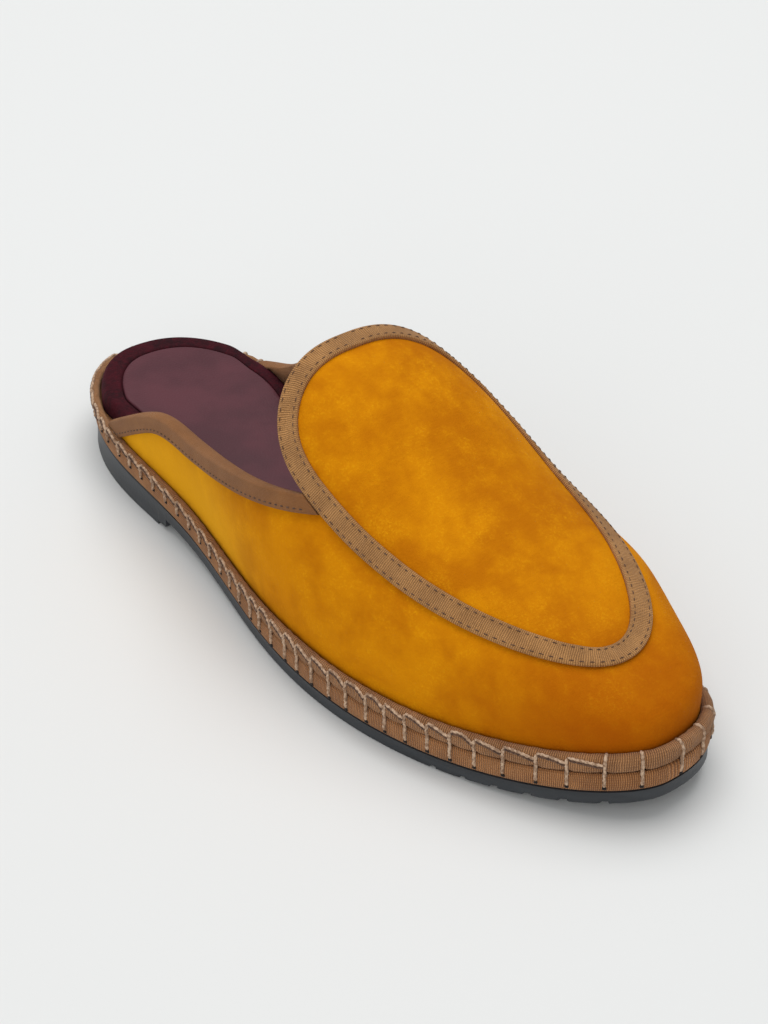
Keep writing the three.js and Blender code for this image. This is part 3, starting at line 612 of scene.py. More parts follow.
def velvetMaterial():
    # Mottled pile, darker with painted shade low on the toe and paler low on the quarters, under three sizes
    # of bump
    # deep is the colour of the painted shade low on the toe
    look = {"dark": (0.46, 0.14, 0.0006, 1), "middle": (0.62, 0.225, 0.0011, 1),
            "light": (0.74, 0.33, 0.004, 1), "deep": (0.34, 0.065, 0.0003, 1), "pale": (0.86, 0.42, 0.012, 1)}
    material, tree, shader, coordinates = newMaterial(
        "ochreVelvet", Roughness=0.9, Sheen_Weight=0.08, Sheen_Roughness=0.4, Sheen_Tint=(1.0, 0.55, 0.06, 1),
        Specular_IOR_Level=0.06)
    place = coordinates.outputs["Object"]
    pile = useGroup(tree, mottleGroup, {"Cloud Scale": 24.0, "Fleck Scale": 1300.0, "Dark": look["dark"],
                                        "Middle": look["middle"], "Light": look["light"]}, Vector=place)
    brushed = noiseNode(tree, stretched(tree, place, (60.0, 160.0, 160.0)), 1.0, 3.0, 0.6, 0.4)
    brushed = times(tree, rampNode(tree, brushed, 0.5, 0.75), 0.3)
    color = mixColor(tree, brushed, pile.outputs["Color"], look["dark"])
    split = tree.nodes.new("ShaderNodeSeparateXYZ")
    wire(tree, place, split.inputs[0])
    low = rampNode(tree, split.outputs[2], 0.06, 0.02)
    # Low on the toe the pile is mixed towards deep as painted shade, where the velvet turns down away from
    # the light; low on the quarters it is mixed towards pale
    for start, end, most, tint in ((0.062, 0.12, 0.8, "deep"), (0.015, -0.04, 0.75, "pale")):
        share = times(tree, times(tree, low, rampNode(tree, split.outputs[0], start, end)), most)
        color = mixColor(tree, share, color, look[tint])
    wire(tree, color, shader.inputs["Base Color"])
    combed = noiseNode(tree, stretched(tree, place, (1100.0, 260.0, 700.0)), 1.0, 2.0)
    normal = addBump(tree, shader, pile.outputs["Height"], 0.00035, 0.5)
    normal = addBump(tree, shader, combed, 0.0005, 0.3, normal)
    addBump(tree, shader, noiseNode(tree, place, 90.0, 3.0), 0.0012, 0.25, normal)
    return material


def tapeMaterial(name, dark, light, ribPitch, warpPitch, depth):
    material, tree, shader, coordinates = newMaterial(
        name, Roughness=0.8, Sheen_Weight=0.15, Sheen_Tint=(1.0, 0.85, 0.7, 1), Specular_IOR_Level=0.25)
    values = {"Rib Pitch": ribPitch, "Warp Pitch": warpPitch, "Dark": dark, "Light": light}
    ribs = useGroup(tree, ribGroup, values, Map=coordinates.outputs["UV"],
                    Vector=coordinates.outputs["Object"])
    wire(tree, ribs.outputs["Color"], shader.inputs["Base Color"])
    addBump(tree, shader, ribs.outputs["Height"], depth, 0.9)
    return material


def wineVelvetMaterial(name, dark, middle, light):
    material, tree, shader, coordinates = newMaterial(
        name, Roughness=0.9, Sheen_Weight=0.05, Sheen_Roughness=0.4, Sheen_Tint=(1.0, 0.15, 0.3, 1),
        Specular_IOR_Level=0.2)
    values = {"Cloud Scale": 130.0, "Fleck Scale": 1600.0, "Dark": dark, "Middle": middle, "Light": light}
    pile = useGroup(tree, mottleGroup, values, Vector=coordinates.outputs["Object"])
    wire(tree, pile.outputs["Color"], shader.inputs["Base Color"])
    addBump(tree, shader, pile.outputs["Height"], 0.0005, 0.6)
    return material


def padMaterial():
    material, tree, shader, coordinates = newMaterial("winePadLeather", Roughness=0.5,
                                                      Specular_IOR_Level=0.25)
    place = coordinates.outputs["Object"]
    tone = noiseNode(tree, place, 60.0, 3.0, 0.55)
    paint(tree, shader, rampNode(tree, tone, 0.3, 0.7), (0.066, 0.013, 0.021, 1), (0.094, 0.021, 0.031, 1))
    cells = tree.nodes.new("ShaderNodeTexVoronoi")
    cells.inputs["Scale"].default_value = 1400.0
    wire(tree, place, cells.inputs["Vector"])
    wire(tree, scaled(tree, tone, 0.25, 0.34), shader.inputs["Roughness"])
    addBump(tree, shader, cells.outputs["Distance"], 0.00012, 0.5)
    return material


def rubberMaterial():
    material, tree, shader, coordinates = newMaterial("slateRubber", Roughness=0.42)
    place = coordinates.outputs["Object"]
    smear = noiseNode(tree, stretched(tree, place, (30.0, 30.0, 180.0)), 1.0, 3.0, 0.6)
    paint(tree, shader, rampNode(tree, smear, 0.35, 0.7), (0.018, 0.021, 0.025, 1), (0.034, 0.039, 0.045, 1))
    wire(tree, scaled(tree, smear, 0.3, 0.3), shader.inputs["Roughness"])
    addBump(tree, shader, noiseNode(tree, place, 700.0, 3.0, 0.6), 0.0002, 0.35)
    return material


def plainThread(name, dark, light, roughness):
    material, tree, shader, coordinates = newMaterial(name, Roughness=roughness, Sheen_Weight=0.1)
    tone = noiseNode(tree, coordinates.outputs["Object"], 900.0, 2.0, 0.6)
    paint(tree, shader, rampNode(tree, tone, 0.35, 0.65), dark, light)
    addBump(tree, shader, tone, 0.0003, 0.5)
    return material


velvet = velvetMaterial()
ribbonTape = tapeMaterial("ribbonTape", (0.24, 0.105, 0.03, 1), (0.6, 0.3, 0.1, 1), 0.62, 0.5, 0.0004)
collarTape = tapeMaterial("collarTape", (0.17, 0.06, 0.012, 1), (0.33, 0.132, 0.034, 1), 0.5, 0.45, 0.0002)
weltTape = tapeMaterial("weltTape", (0.17, 0.068, 0.024, 1), (0.52, 0.25, 0.1, 1), 0.62, 0.8, 0.00045)
midsoleTape = tapeMaterial("midsoleTape", (0.2, 0.074, 0.022, 1), (0.56, 0.25, 0.09, 1), 0.6, 0.8, 0.00045)
wineVelvet = wineVelvetMaterial("wineVelvet", (0.016, 0.0008, 0.003, 1), (0.042, 0.0012, 0.0055, 1),
                                (0.1, 0.003, 0.011, 1))
lining = wineVelvetMaterial("darkLining", (0.02, 0.002, 0.006, 1), (0.05, 0.004, 0.014, 1),
                            (0.1, 0.01, 0.03, 1))
padLeather = padMaterial()
rubber = rubberMaterial()
seamThread = plainThread("darkSeamThread", (0.05, 0.02, 0.009, 1), (0.12, 0.055, 0.026, 1), 0.85)
stitchCord = plainThread("beigeStitchCord", (0.26, 0.15, 0.085, 1), (0.56, 0.39, 0.26, 1), 0.75)
# Near-black colour for the stitch holes: painted shadow inside them
holeShade = plainThread("holeShadow", (0.006, 0.003, 0.002, 1), (0.014, 0.007, 0.004, 1), 0.95)
print("materials made")


# Upper: velvet outside, lining inside

upperLook = {"quarterColumns": 110, "vampColumns": 150, "wallRows": 64, "tongueColumns": 60, "fanRows": 34,
             "meetingColumns": 12, "wallCrowding": 2.3, "fanReach": 0.7, "pile": 0.3, "softness": 0.35,
             "freeFrom": (4.0, 9.0), "footFrom": (0.5, 8.0), "turnReach": (0.01, 0.985),
             "thinFrom": 22, "thinTo": 10, "thinnest": 0.03}


def softness(points):
    # Broad soft troughs and ridges of the velvet, each a Gaussian over the plan, in millimetres
    marks = np.array([  # x, y, length, width, turn of the long side, depth
        (168, -41, 20, 7, 0.1, -0.9), (188, -36, 7, 14, 0.5, 0.7), (150, -38, 9, 12, -0.4, 0.6),
        (176, 40, 22, 8, -0.1, -0.9), (196, 30, 7, 14, -0.5, 0.7), (205, 3, 26, 18, 0.0, 0.5),
        (160, -10, 18, 24, 0.3, -0.5), (150, 18, 16, 12, -0.3, 0.4), (228, -24, 9, 14, 0.6, -0.6),
        (240, 20, 8, 12, -0.6, -0.5), (80, -32, 16, 8, 0.0, -0.7), (84, 30, 16, 8, 0.0, -0.6),
    ])
    away = points[..., None, :2] - marks[:, :2]
    cosine, sine = np.cos(marks[:, 4]), np.sin(marks[:, 4])
    onward = (away[..., 0] * cosine + away[..., 1] * sine) / marks[:, 2]
    wide = (away[..., 1] * cosine - away[..., 0] * sine) / marks[:, 3]
    return (np.exp(-(onward ** 2 + wide ** 2)) * marks[:, 5]).sum(axis=-1)


def offSurface(points, amount):
    turn, angle = placeNear(points)
    return points + surfaceNormal(np.clip(turn, *upperLook["turnReach"]), angle) * amount[..., None]


def wallGrid(side, rowsOfApron):
    # Columns from the welt up to the collar, then up to the apron's edge; rows close up at the welt
    meeting = meetingRow(side)
    meetCut, _ = apronEdge(side, meeting)
    meetTurn = turnOver(meetCut["x"])
    backTurn = turnAt(size["quarterBack"], size["featherHeel"])
    quarterTurns = np.linspace(backTurn, meetTurn, upperLook["quarterColumns"], endpoint=False)
    quarterCut = section(quarterTurns)
    quarterOut = outAtHeight(quarterCut, side, collarCurve(side)(quarterCut["x"]))
    apronCut, apronOut = apronEdge(side, rowsOfApron)
    share = (rowsOfApron - meeting) / (apronRows - meeting)
    footTurns = np.concatenate([quarterTurns, lerp(meetTurn, 1, share)])
    topX = np.concatenate([quarterCut["x"], apronCut["x"]])
    topReach = np.concatenate([quarterOut * quarterCut["open"][side], apronOut * apronCut["open"][side]])
    foot = section(footTurns)
    up = np.linspace(0, 1, upperLook["wallRows"])[None, :] ** upperLook["wallCrowding"]
    x = lerp(foot["x"][:, None], topX[:, None], up)
    along = section(turnOver(x))
    reach = lerp(foot["open"][side][:, None], topReach[:, None], up)
    out = np.clip(reach / np.maximum(along["open"][side], 1e-6), 0, 1)
    out[:, 0] = 1
    grid = bodyPoint(along, side, out)
    grid[:, 0] = bodyPoint(foot, side, np.ones(len(footTurns)))
    grid[len(quarterTurns):, -1] = bodyPoint(apronCut, side, apronOut)
    below = grid[:, :1].copy()
    below[..., 2] = midsoleTop(below[..., 0]) + size["gap"]
    return np.concatenate([below, grid], axis=1)


def fanGrid(side, rows):
    # Lines from the apron's edge to its ridge, fanned out at both ends
    cut, out = apronEdge(side, rows)
    reach = size["apronHalfWidth"] * upperLook["fanReach"]
    spine = np.clip(cut["x"], size["tongueBack"] + reach, size["apronFront"] - reach)
    share = np.linspace(0, 1, upperLook["fanRows"])[None, :]
    inner = section(turnOver(lerp(cut["x"][:, None], spine[:, None], share)))
    grid = bodyPoint(inner, side, out[:, None] * (1 - share))
    grid[:, 0] = bodyPoint(cut, side, out)
    return grid


def puffed(grid, edgeColumn):
    # Pile stands off the last, but not under the ribbon, and the velvet has its soft troughs
    away = np.linalg.norm(grid - grid[:, edgeColumn:edgeColumn + 1 or None], axis=2)
    free = smoothStep(*upperLook["freeFrom"], away)
    foot = smoothStep(*upperLook["footFrom"], grid[..., 2] - featherHeight(grid[..., 0]))
    amount = (upperLook["pile"] + upperLook["softness"] * softness(grid)) * free * foot
    return offSurface(grid, amount)


def makeUpper():
    # Both sides share the apron's rows, so that the fans meet point by point on the ridge
    surface = Surface()
    meetings = sorted({meetingRow(side) for side in (lateral, medial)})
    stops = [0] + meetings + [apronRows]
    counts = [upperLook["meetingColumns"]] * (len(stops) - 1)
    counts[0], counts[-1] = upperLook["tongueColumns"], upperLook["vampColumns"]
    rows = np.unique(np.concatenate([np.linspace(low, high, count) for low, high, count
                                     in zip(stops, stops[1:], counts)]))
    for side in (lateral, medial):
        flip = side == medial
        surface.add(puffed(wallGrid(side, rows[rows >= meetingRow(side)]), -1), flip=flip)
        surface.add(puffed(fanGrid(side, rows), 0), flip=flip)
    piece = surface.build("velvetUpper", [velvet, lining], node="upper", closed=False,
                          weld=0.01)
    wall = piece.modifiers.new("wall", "SOLIDIFY")
    wall.thickness = size["wall"] * mm
    wall.offset = -1
    wall.vertex_group = thinToeGroup(piece)
    wall.thickness_vertex_group = upperLook["thinnest"]
    wall.material_offset = 1
    wall.material_offset_rim = 1


def thinToeGroup(piece):
    # The wall thins out at the toe's tip, where the last is too sharp for its full thickness
    group = piece.vertex_groups.new(name="wallThickness")
    places = np.empty(len(piece.data.vertices) * 3)
    piece.data.vertices.foreach_get("co", places)
    forward = places[::3] / mm - toPart[0]
    tip = size["soleLength"]
    full = 1 - smoothStep(tip - upperLook["thinFrom"], tip - upperLook["thinTo"], forward)
    group.add(np.flatnonzero(full >= 1).tolist(), 1.0, "REPLACE")
    for index in np.flatnonzero(full < 1).tolist():
        group.add([index], float(full[index]), "REPLACE")
    return group.name


makeUpper()
print("upper made")


# Ribbon round the apron, folded round the tongue's free edge

ribbonLook = {"steps": 900, "fineSteps": 4000, "foldEnd": 3.0, "foldChange": 0.9, "tuckLag": 1.0,
              "selvedge": 0.4, "corner": 0.12, "cornerDrop": 0.16, "dip": 0.05, "topPoints": 8,
              "waviness": 0.12, "waves": (23, 41), "seamInset": 1.05, "stitch": 1.7, "stitchPitch": 2.7,
              "firstStitch": 0.5, "rowShift": 0.4, "seamEnd": 3, "threadRadius": 0.15,
              "sunk": 0.28, "arch": 0.4}


def apronPath(count):
    # Once round the apron's edge from the tongue's back: points, outward directions, rows and sides
    rows = np.concatenate([np.linspace(0, apronRows, count // 2, endpoint=False),
                           np.linspace(apronRows, 0, count // 2, endpoint=False)])
    sides = np.where(np.arange(len(rows)) < count // 2, lateral, medial)
    cut, out = apronEdge(sides, rows)
    points = bodyPoint(cut, sides, out)
    onward = np.roll(points, -1, axis=0) - np.roll(points, 1, axis=0)
    return points, unit(-np.cross(surfaceNormal(*placeNear(points)), onward)), rows, sides


def besideApron(points, outward, reach, lift):
    turn, angle = placeNear(points[:, None] + outward[:, None] * reach[..., None])
    return lifted(turn, angle, lift)


def foldShares(rows, sides):
    # How far the ribbon folds down and turns in under the tongue; both end near the collar's meeting row
    free = np.where(sides < 0, meetingRow(lateral), meetingRow(medial)) - ribbonLook["foldEnd"]
    late, change = free - ribbonLook["tuckLag"], ribbonLook["foldChange"]
    return 1 - smoothStep(free, free + change, rows), 1 - smoothStep(late, late + change, rows)


def ribbonOutline(deep, turned):
    # Section of the ribbon: top with a slight dip between its selvedges, and the fold under the wall
    gap, tape, selvedge, corner = size["gap"], size["tape"], ribbonLook["selvedge"], ribbonLook["corner"]
    room, rest, top, points = gap * 2, gap / 10, gap + tape, ribbonLook["topPoints"]
    outer = room + tape
    inner = outer - size["ribbon"]
    under = lerp(gap, -size["wall"] - size["foldRoom"], deep)
    low = lerp(gap, -size["wall"] - size["foldRoom"] - tape, deep)
    tuck = lerp(room + 0.3, -size["ribbonTurnIn"], turned)
    one = np.ones_like(deep)
    flat = [(inner, rest), (inner - 0.02, top * 0.6), (inner + corner, top - ribbonLook["cornerDrop"])]
    flat += [(lerp(inner + selvedge, outer - selvedge, k / points),
              top - ribbonLook["dip"] * np.sin(np.pi * k / points)) for k in range(points + 1)]
    flat += [(outer - corner, top - 0.14), (outer, top - selvedge)]
    bend = [(outer, lerp(gap + 0.4, low + 0.4, deep)), (outer - corner, lerp(gap + 0.1, low + 0.1, deep)),
            (outer - selvedge, low), (tuck, low), (tuck, under), (room, under), (room, rest)]
    return tuple(np.stack([value * one for value in values], axis=1) for values in zip(*flat + bend))


def makeRibbon():
    # The outline swept along the apron's edge; its inner half is a little wavy
    points, outward, rows, sides = apronPath(ribbonLook["steps"])
    reach, lift = ribbonOutline(*foldShares(rows, sides))
    phase = np.linspace(0, 2 * np.pi, len(rows), endpoint=False)[:, None]
    longWave, shortWave = ribbonLook["waves"]
    wave = ribbonLook["waviness"] * (np.sin(phase * longWave) + 0.6 * np.sin(phase * shortWave + 1.0))
    grid = besideApron(points, outward, reach, lift)
    innerTop = ((reach < 0) & (lift > 0))[..., None]
    rise = surfaceNormal(*placeNear(grid)) * np.maximum(wave, -0.05)[..., None] * 0.5
    makePiece(np.where(innerTop, grid + rise, grid), "apronRibbon", ribbonTape, "apron_ribbon", "ribbon",
              wrapRows=True, wrapColumns=True, along=travelAlong(closedRing(points)))


tubeLook = {"nudge": np.array([0.013, 0.027, 0.051]), "endSharpness": 12}


def tubes(paths, radius, sides=8, lobes=0.0, twist=0.0):
    # Tubes along many paths at once: rings square to each path, closed by their vanishing end radii.
    # Two lobes that turn along the path give a twisted two-ply cord.
    steps = paths.shape[1]
    onward = unit(np.gradient(paths, axis=1))
    chord = paths[:, -1] - paths[:, 0]
    bulge = paths[:, steps // 2] - (paths[:, 0] + paths[:, -1]) / 2
    reference = unit(np.cross(chord, bulge + tubeLook["nudge"]))[:, None]
    sideways = unit(reference - onward * (reference * onward).sum(axis=2, keepdims=True))
    upward = np.cross(onward, sideways)
    travel = travelAlong(paths, axis=1)
    share = travel / travel[:, -1:]
    ends = np.sqrt(np.clip(1 - np.abs(2 * share - 1) ** tubeLook["endSharpness"], 0, 1))
    angle = np.linspace(0, 2 * np.pi, sides, endpoint=False)[None, None, :]
    ply = 1 + lobes * np.cos(2 * (angle - twist * travel[..., None]))
    reach = radius * ends[..., None] * ply
    return (paths[:, :, None] + sideways[:, :, None] * (np.cos(angle) * reach)[..., None]
            + upward[:, :, None] * (np.sin(angle) * reach)[..., None]), travel


def makeTubes(name, paths, radius, material, slot, **options):
    grids, travel = tubes(paths, radius, **options)
    surface = Surface()
    for grid, length in zip(grids, travel):
        surface.add(grid, wrapColumns=True, along=length)
    surface.build(name, [material], weld=0.001)


def stitchSpans(travelled, first, look):
    # Distances along a path for a row of short stitches, and each stitch's own steps from 0 to 1
    starts = np.arange(first, travelled[-1] - look["seamEnd"], look["stitchPitch"])
    steps = np.linspace(0, 1, 7)
    return starts[:, None] + steps[None, :] * look["stitch"], steps


def ribbonSeams():
    # Two rows of short stitches along the ribbon's edges, each sinking in at both ends
    points, outward, _, _ = apronPath(ribbonLook["fineSteps"])
    travelled = travelAlong(points)
    top, outer = size["gap"] + size["tape"], size["gap"] * 2 + size["tape"]
    inset = ribbonLook["seamInset"]
    paths = []
    for reach, late in ((outer - size["ribbon"] + inset, 0.0), (outer - inset, ribbonLook["rowShift"])):
        at, steps = stitchSpans(travelled, ribbonLook["firstStitch"] + late, ribbonLook)
        base, away = readAlong(at, travelled, points), readAlong(at, travelled, outward)
        lift = top - ribbonLook["sunk"] + ribbonLook["arch"] * np.sin(np.pi * steps)
        paths.append(lifted(*placeNear(base + away * reach), np.broadcast_to(lift, at.shape)))
    return np.concatenate(paths)


makeRibbon()
makeTubes("ribbonSeams", ribbonSeams(), ribbonLook["threadRadius"], seamThread, "ribbon", sides=6)
print("ribbon made")


# Tape folded over the top edge of each quarter

collarLook = {"steps": 320, "rounds": 8, "mapStrand": 5, "lowestEnd": 4, "corner": 1.0, "bendStart": 0.35,
              "seamInset": 1.2, "seamLowest": 0.6, "stitch": 1.3, "stitchPitch": 2.3, "firstStitch": 4,
              "seamEnd": 3, "threadRadius": 0.2, "sunk": 0.25, "arch": 0.35}


def ribbonEdgeX(side):
    # Where the ribbon's outer edge passes each height, so that the tape ends along it
    rows = np.linspace(max(meetingRow(side) - 5, 2), apronRows / 2, 400)
    cut, out = apronEdge(side, rows)
    base = bodyPoint(cut, side, out)
    onward = np.gradient(base, axis=0) * (1 if side == lateral else -1)
    away = unit(-np.cross(surfaceNormal(*placeNear(base)), onward))
    place = bodyAt(*placeNear(base + away * (size["gap"] * 3 + size["tape"])))
    height = place[:, 2] - featherHeight(place[:, 0])
    order = np.argsort(height)
    return lambda up: np.interp(up, height[order], place[order, 0])


# The tape's inside stays above the footbed's rim
tapeLowest = insoleTop(size["quarterBack"]) - featherHeight(size["quarterBack"]) + size["gap"] * 2


def collarGrid(side, outlineOf):
    # One section per step, upright on the collar; every strand stops at the ribbon's edge at its own height
    collarAt, edgeX = collarCurve(side), ribbonEdgeX(side)
    start = size["quarterBack"] + size["gap"]
    end = float(apronEdge(side, meetingRow(side))[0]["x"])
    share = np.linspace(0, 1, collarLook["steps"])[:, None]
    x = lerp(start, end, share)
    for _ in range(collarLook["rounds"]):
        height = collarAt(x)
        slope = (collarAt(x + 1) - collarAt(x - 1)) / 2
        cut = section(turnOver(x))
        normal = surfaceNormal(turnOver(x), angleOf(cut, side, outAtHeight(cut, side, height)))
        steep = np.hypot(normal[..., 0], normal[..., 1])
        up, lift = outlineOf(height, np.sqrt(1 + slope ** 2), steep)
        x = lerp(start, edgeX(np.clip(up[-1:], collarLook["lowestEnd"], None)), share)
    cut = section(turnOver(x))
    angle = angleOf(cut, side, outAtHeight(cut, side, up))
    return lifted(turnOver(x), angle, lift)


def collarOutline(height, stretch, steep):
    # Section of the tape by height and distance off the last: outer face, rounded fold, inner face
    room, tape, corner = size["tapeRoom"], size["tape"], collarLook["corner"]
    outside = np.maximum(height - size["collarTape"] * stretch * steep, size["gap"])
    fold = height + room * stretch
    inside = np.maximum(height - size["collarInside"] * stretch * steep, tapeLowest)
    inside = np.minimum(inside, fold - 0.1)
    crown = height + (tape + room) * stretch
    outer, inner, start = room + tape, -size["wall"] - room, collarLook["bendStart"]
    shape = [(outside, room), (outside - 0.05, outer - 0.45), (outside + 0.1, outer - 0.1)]
    shape += [(lerp(outside, crown - corner, k / 6), outer - 0.04 * np.sin(np.pi * k / 6))
              for k in range(1, 7)]
    shape += [(crown - corner + corner * np.sin(turn), lerp((outer + inner - tape) / 2, outer, np.cos(turn)))
              for turn in np.linspace(start, np.pi - start, 7)]
    shape += [(inside, inner - tape), (inside, inner), (fold, inner), (fold, room)]
    wide = (len(height), len(shape))
    return tuple(np.stack([np.broadcast_to(value, wide)[:, k] for k, value in enumerate(values)], axis=1)
                 for values in zip(*shape))


def makeCollarTape(side, name, node):
    grid = collarGrid(side, collarOutline)
    surface = Surface()
    surface.add(grid, wrapColumns=True, along=travelAlong(grid[:, collarLook["mapStrand"]]))
    for end in (grid[:1], grid[-1:]):
        middle = np.broadcast_to(end.mean(axis=1, keepdims=True), end.shape)
        surface.add(np.concatenate([end, middle]), wrapColumns=True)
    surface.build(name, [collarTape], node=node, weld=0.005)


def collarSeam(side):
    # A row of stitches a little above the tape's lower edge
    def line(height, stretch, steep):
        up = height - (size["collarTape"] - collarLook["seamInset"]) * stretch * steep
        up = np.maximum(up, collarLook["seamLowest"])
        return up, np.zeros_like(up) + size["tapeRoom"] + size["tape"]

    path = collarGrid(side, line)[:, 0]
    travelled = travelAlong(path)
    at, steps = stitchSpans(travelled, collarLook["firstStitch"], collarLook)
    points = readAlong(at, travelled, path)
    lift = collarLook["arch"] * np.sin(np.pi * steps) - collarLook["sunk"]
    return points + surfaceNormal(*placeNear(points)) * lift[None, :, None]


for tapeSide, tapeWord in ((lateral, "Lateral"), (medial, "Medial")):
    makeCollarTape(tapeSide, "collarTape" + tapeWord, "collar_tape_" + tapeWord.lower())
makeTubes("collarSeams", np.concatenate([collarSeam(lateral), collarSeam(medial)]),
          collarLook["threadRadius"], seamThread, "ribbon", sides=6)
print("collar tapes made")


# Welt: roll, midsole and the blanket stitches over both

weltLook = {"steps": 1500, "fineSteps": 6000, "around": 28, "stitchPitch": 7.6, "toeSpread": 0.5,
            "toeWidth": 0.07, "uneven": 0.1, "placeSeed": 7, "leanSeed": 11, "lean": 0.35, "slack": 0.2,
            "pinch": 0.3, "pinchWidth": 1.3, "rumple": 0.16, "rumplePitch": 5.1, "flatTop": 0.75,
            "cord": 0.48, "twist": 2.2, "sideShare": 0.4, "sideBlend": 0.06, "rollStart": -0.75,
            "overEnd": 2.5, "linkEnd": 0.88, "linkTop": 0.85, "linkLow": 0.2, "shadowPlyAside": 0.4,
            "shadowPlyDrop": -0.75,
            "holeFore": 0.3, "holeHeel": 0.66, "holeRadius": 0.6, "holeReach": 0.7, "holeSunk": 0.3}


def welt(steps):
    # Once round the sole from the heel: turns, outline points, outward directions, distance travelled
    half = steps // 2
    turns = np.concatenate([np.linspace(0, 1, half, endpoint=False), np.linspace(1, 0, half, endpoint=False)])
    sides = np.where(np.arange(len(turns)) < half, lateral, medial)
    line = np.stack(edge(sides, turns, 0.0), axis=1)
    onward = unit(np.roll(line, -1, axis=0) - np.roll(line, 1, axis=0))
    outward = np.stack([onward[:, 1], -onward[:, 0]], axis=1)
    return turns, line, outward, travelAlong(closedRing(line))


def stitchPlaces(total):
    # Places of the stitches round the welt, wider apart round the toe and each a little off its place
    count = int(round(total / weltLook["stitchPitch"]))
    random = np.random.default_rng(weltLook["placeSeed"])
    middles = (np.arange(count) + 0.5) / count
    pitch = 1 + weltLook["toeSpread"] * np.exp(-((middles - 0.5) / weltLook["toeWidth"]) ** 2)
    places = (np.cumsum(pitch) - pitch / 2) / pitch.sum()
    return (places + random.uniform(-weltLook["uneven"], weltLook["uneven"], count) / count) * total


def weltPoint(line, outward, reach, height):
    # A point at a distance outside the sole's outline and at a height
    plan = line + outward * np.asarray(reach)[..., None]
    return np.concatenate([plan, np.asarray(height)[..., None]], axis=-1)


def pinchAt(travelled, places, total):
    # 1 at a stitch, falling off to both sides as a Gaussian of the distance round the welt
    gapTo = np.abs(travelled[:, None] - places[None, :])
    gapTo = np.minimum(gapTo, total - gapTo).min(axis=1)
    return np.exp(-(gapTo / weltLook["pinchWidth"]) ** 2)


def rollSection(x, turn):
    # Half width, middle and half height of the roll's ellipse, with its middle's height
    inner = featherInset(turn) - size["gap"]
    wide = (inner + size["rollProud"]) / 2
    return wide, size["rollProud"] - wide, rollHeight(x) / 2, rollBottom(x) + rollHeight(x) / 2


def makeRoll():
    # An ellipse round each point of the welt, pinched under the stitches and rumpled between them
    turns, line, outward, travelled = welt(weltLook["steps"])
    places = stitchPlaces(travelled[-1])
    pinch = pinchAt(travelled[:-1], places, travelled[-1])[:, None]
    angle = np.linspace(0, 2 * np.pi, weltLook["around"], endpoint=False)[None, :]
    x = line[:, :1]
    wide, middle, tall, centre = rollSection(x, turns[:, None])
    phase = travelled[:-1, None] * 2 * np.pi / weltLook["rumplePitch"]
    rumple = weltLook["rumple"] * np.sin(phase + 1.7 * np.sin(phase * 0.31) + angle)
    rumple = rumple * np.sin(phase * 0.17 + 2)
    swell = 1 - weltLook["pinch"] * pinch / 2 * (np.cos(angle) > -0.3)
    reach = middle + (wide * swell + rumple * 0.5) * np.cos(angle)
    flatTop = np.sign(np.sin(angle)) * np.abs(np.sin(angle)) ** weltLook["flatTop"]
    height = centre + (tall * swell + rumple * 0.4) * flatTop
    grid = weltPoint(line[:, None], outward[:, None], reach, np.maximum(height, rollBottom(x)))
    makePiece(grid, "weltRoll", weltTape, "welt_roll", "welt_tape", wrapRows=True, wrapColumns=True,
              along=travelled)


def layerGrid(turns, insets, heights, across=12):
    # Slices across the sole: up the lateral rim, over the top, down the medial rim, back underneath
    def rim(side):
        x, y = edge(side, turns[:, None], insets)
        return np.stack([x, y, heights(x)], axis=-1)

    left, right = rim(lateral), rim(medial)
    share = np.linspace(0, 1, across + 2)[None, 1:-1, None]
    over = left[:, -1:] + (right[:, -1:] - left[:, -1:]) * share
    under = right[:, :1] + (left[:, :1] - right[:, :1]) * share
    return np.concatenate([left, over, right[:, ::-1], under], axis=1)


midsoleLook = {
    "steps": 520, "mapStrand": 4,
    "rise": np.array([0.0, 0.04, 0.12, 0.25, 0.4, 0.55, 0.7, 0.84, 0.93, 0.98, 1.0]),
    "bulge": np.array([-0.6, 0.1, 0.6, 0.9, 1.0, 1.0, 0.95, 0.75, 0.4, 0.0, -0.6]),
}


def makeMidsole():
    # Tape-covered side with rounded edges, a little proud of the rubber
    rise, bulge = midsoleLook["rise"], -size["midsoleProud"] * midsoleLook["bulge"]
    insets = np.broadcast_to(bulge, (midsoleLook["steps"], len(bulge)))
    grid = layerGrid(np.linspace(0, 1, midsoleLook["steps"]), insets,
                     lambda x: lerp(midsoleBottom(x), midsoleTop(x), rise[None, :]))
    makePiece(grid, "midsoleBand", midsoleTape, "midsole", "midsole_tape", wrapColumns=True,
              along=travelAlong(grid[:, midsoleLook["mapStrand"]]))


def holeHeight(x):
    # The cords come out of the midsole's side, higher at the heel than at the fore
    share = lerp(weltLook["holeHeel"], weltLook["holeFore"], smoothStep(0.3, 0.6, x / size["soleLength"]))
    return lerp(midsoleBottom(x), midsoleTop(x), share)


def weltReader():
    # Reads turn, outline point and outward direction at any distance round the welt
    turns, line, outward, travelled = welt(weltLook["fineSteps"])
    known, total = np.column_stack([turns, line, outward]), travelled[-1]

    def at(distance):
        values = readAlong(distance % total, travelled[:-1], known)
        return values[..., 0], values[..., 1:3], values[..., 3:]

    return at, total


def overRoll(turn, base, away, angle, lift, swell):
    # A point over the roll's ellipse, swollen or pinched, and lifted off it
    wide, middle, tall, height = rollSection(base[..., 0], turn)
    return weltPoint(base, away, middle + (wide * swell + lift) * np.cos(angle),
                     height + (tall * swell + lift) * np.sin(angle))


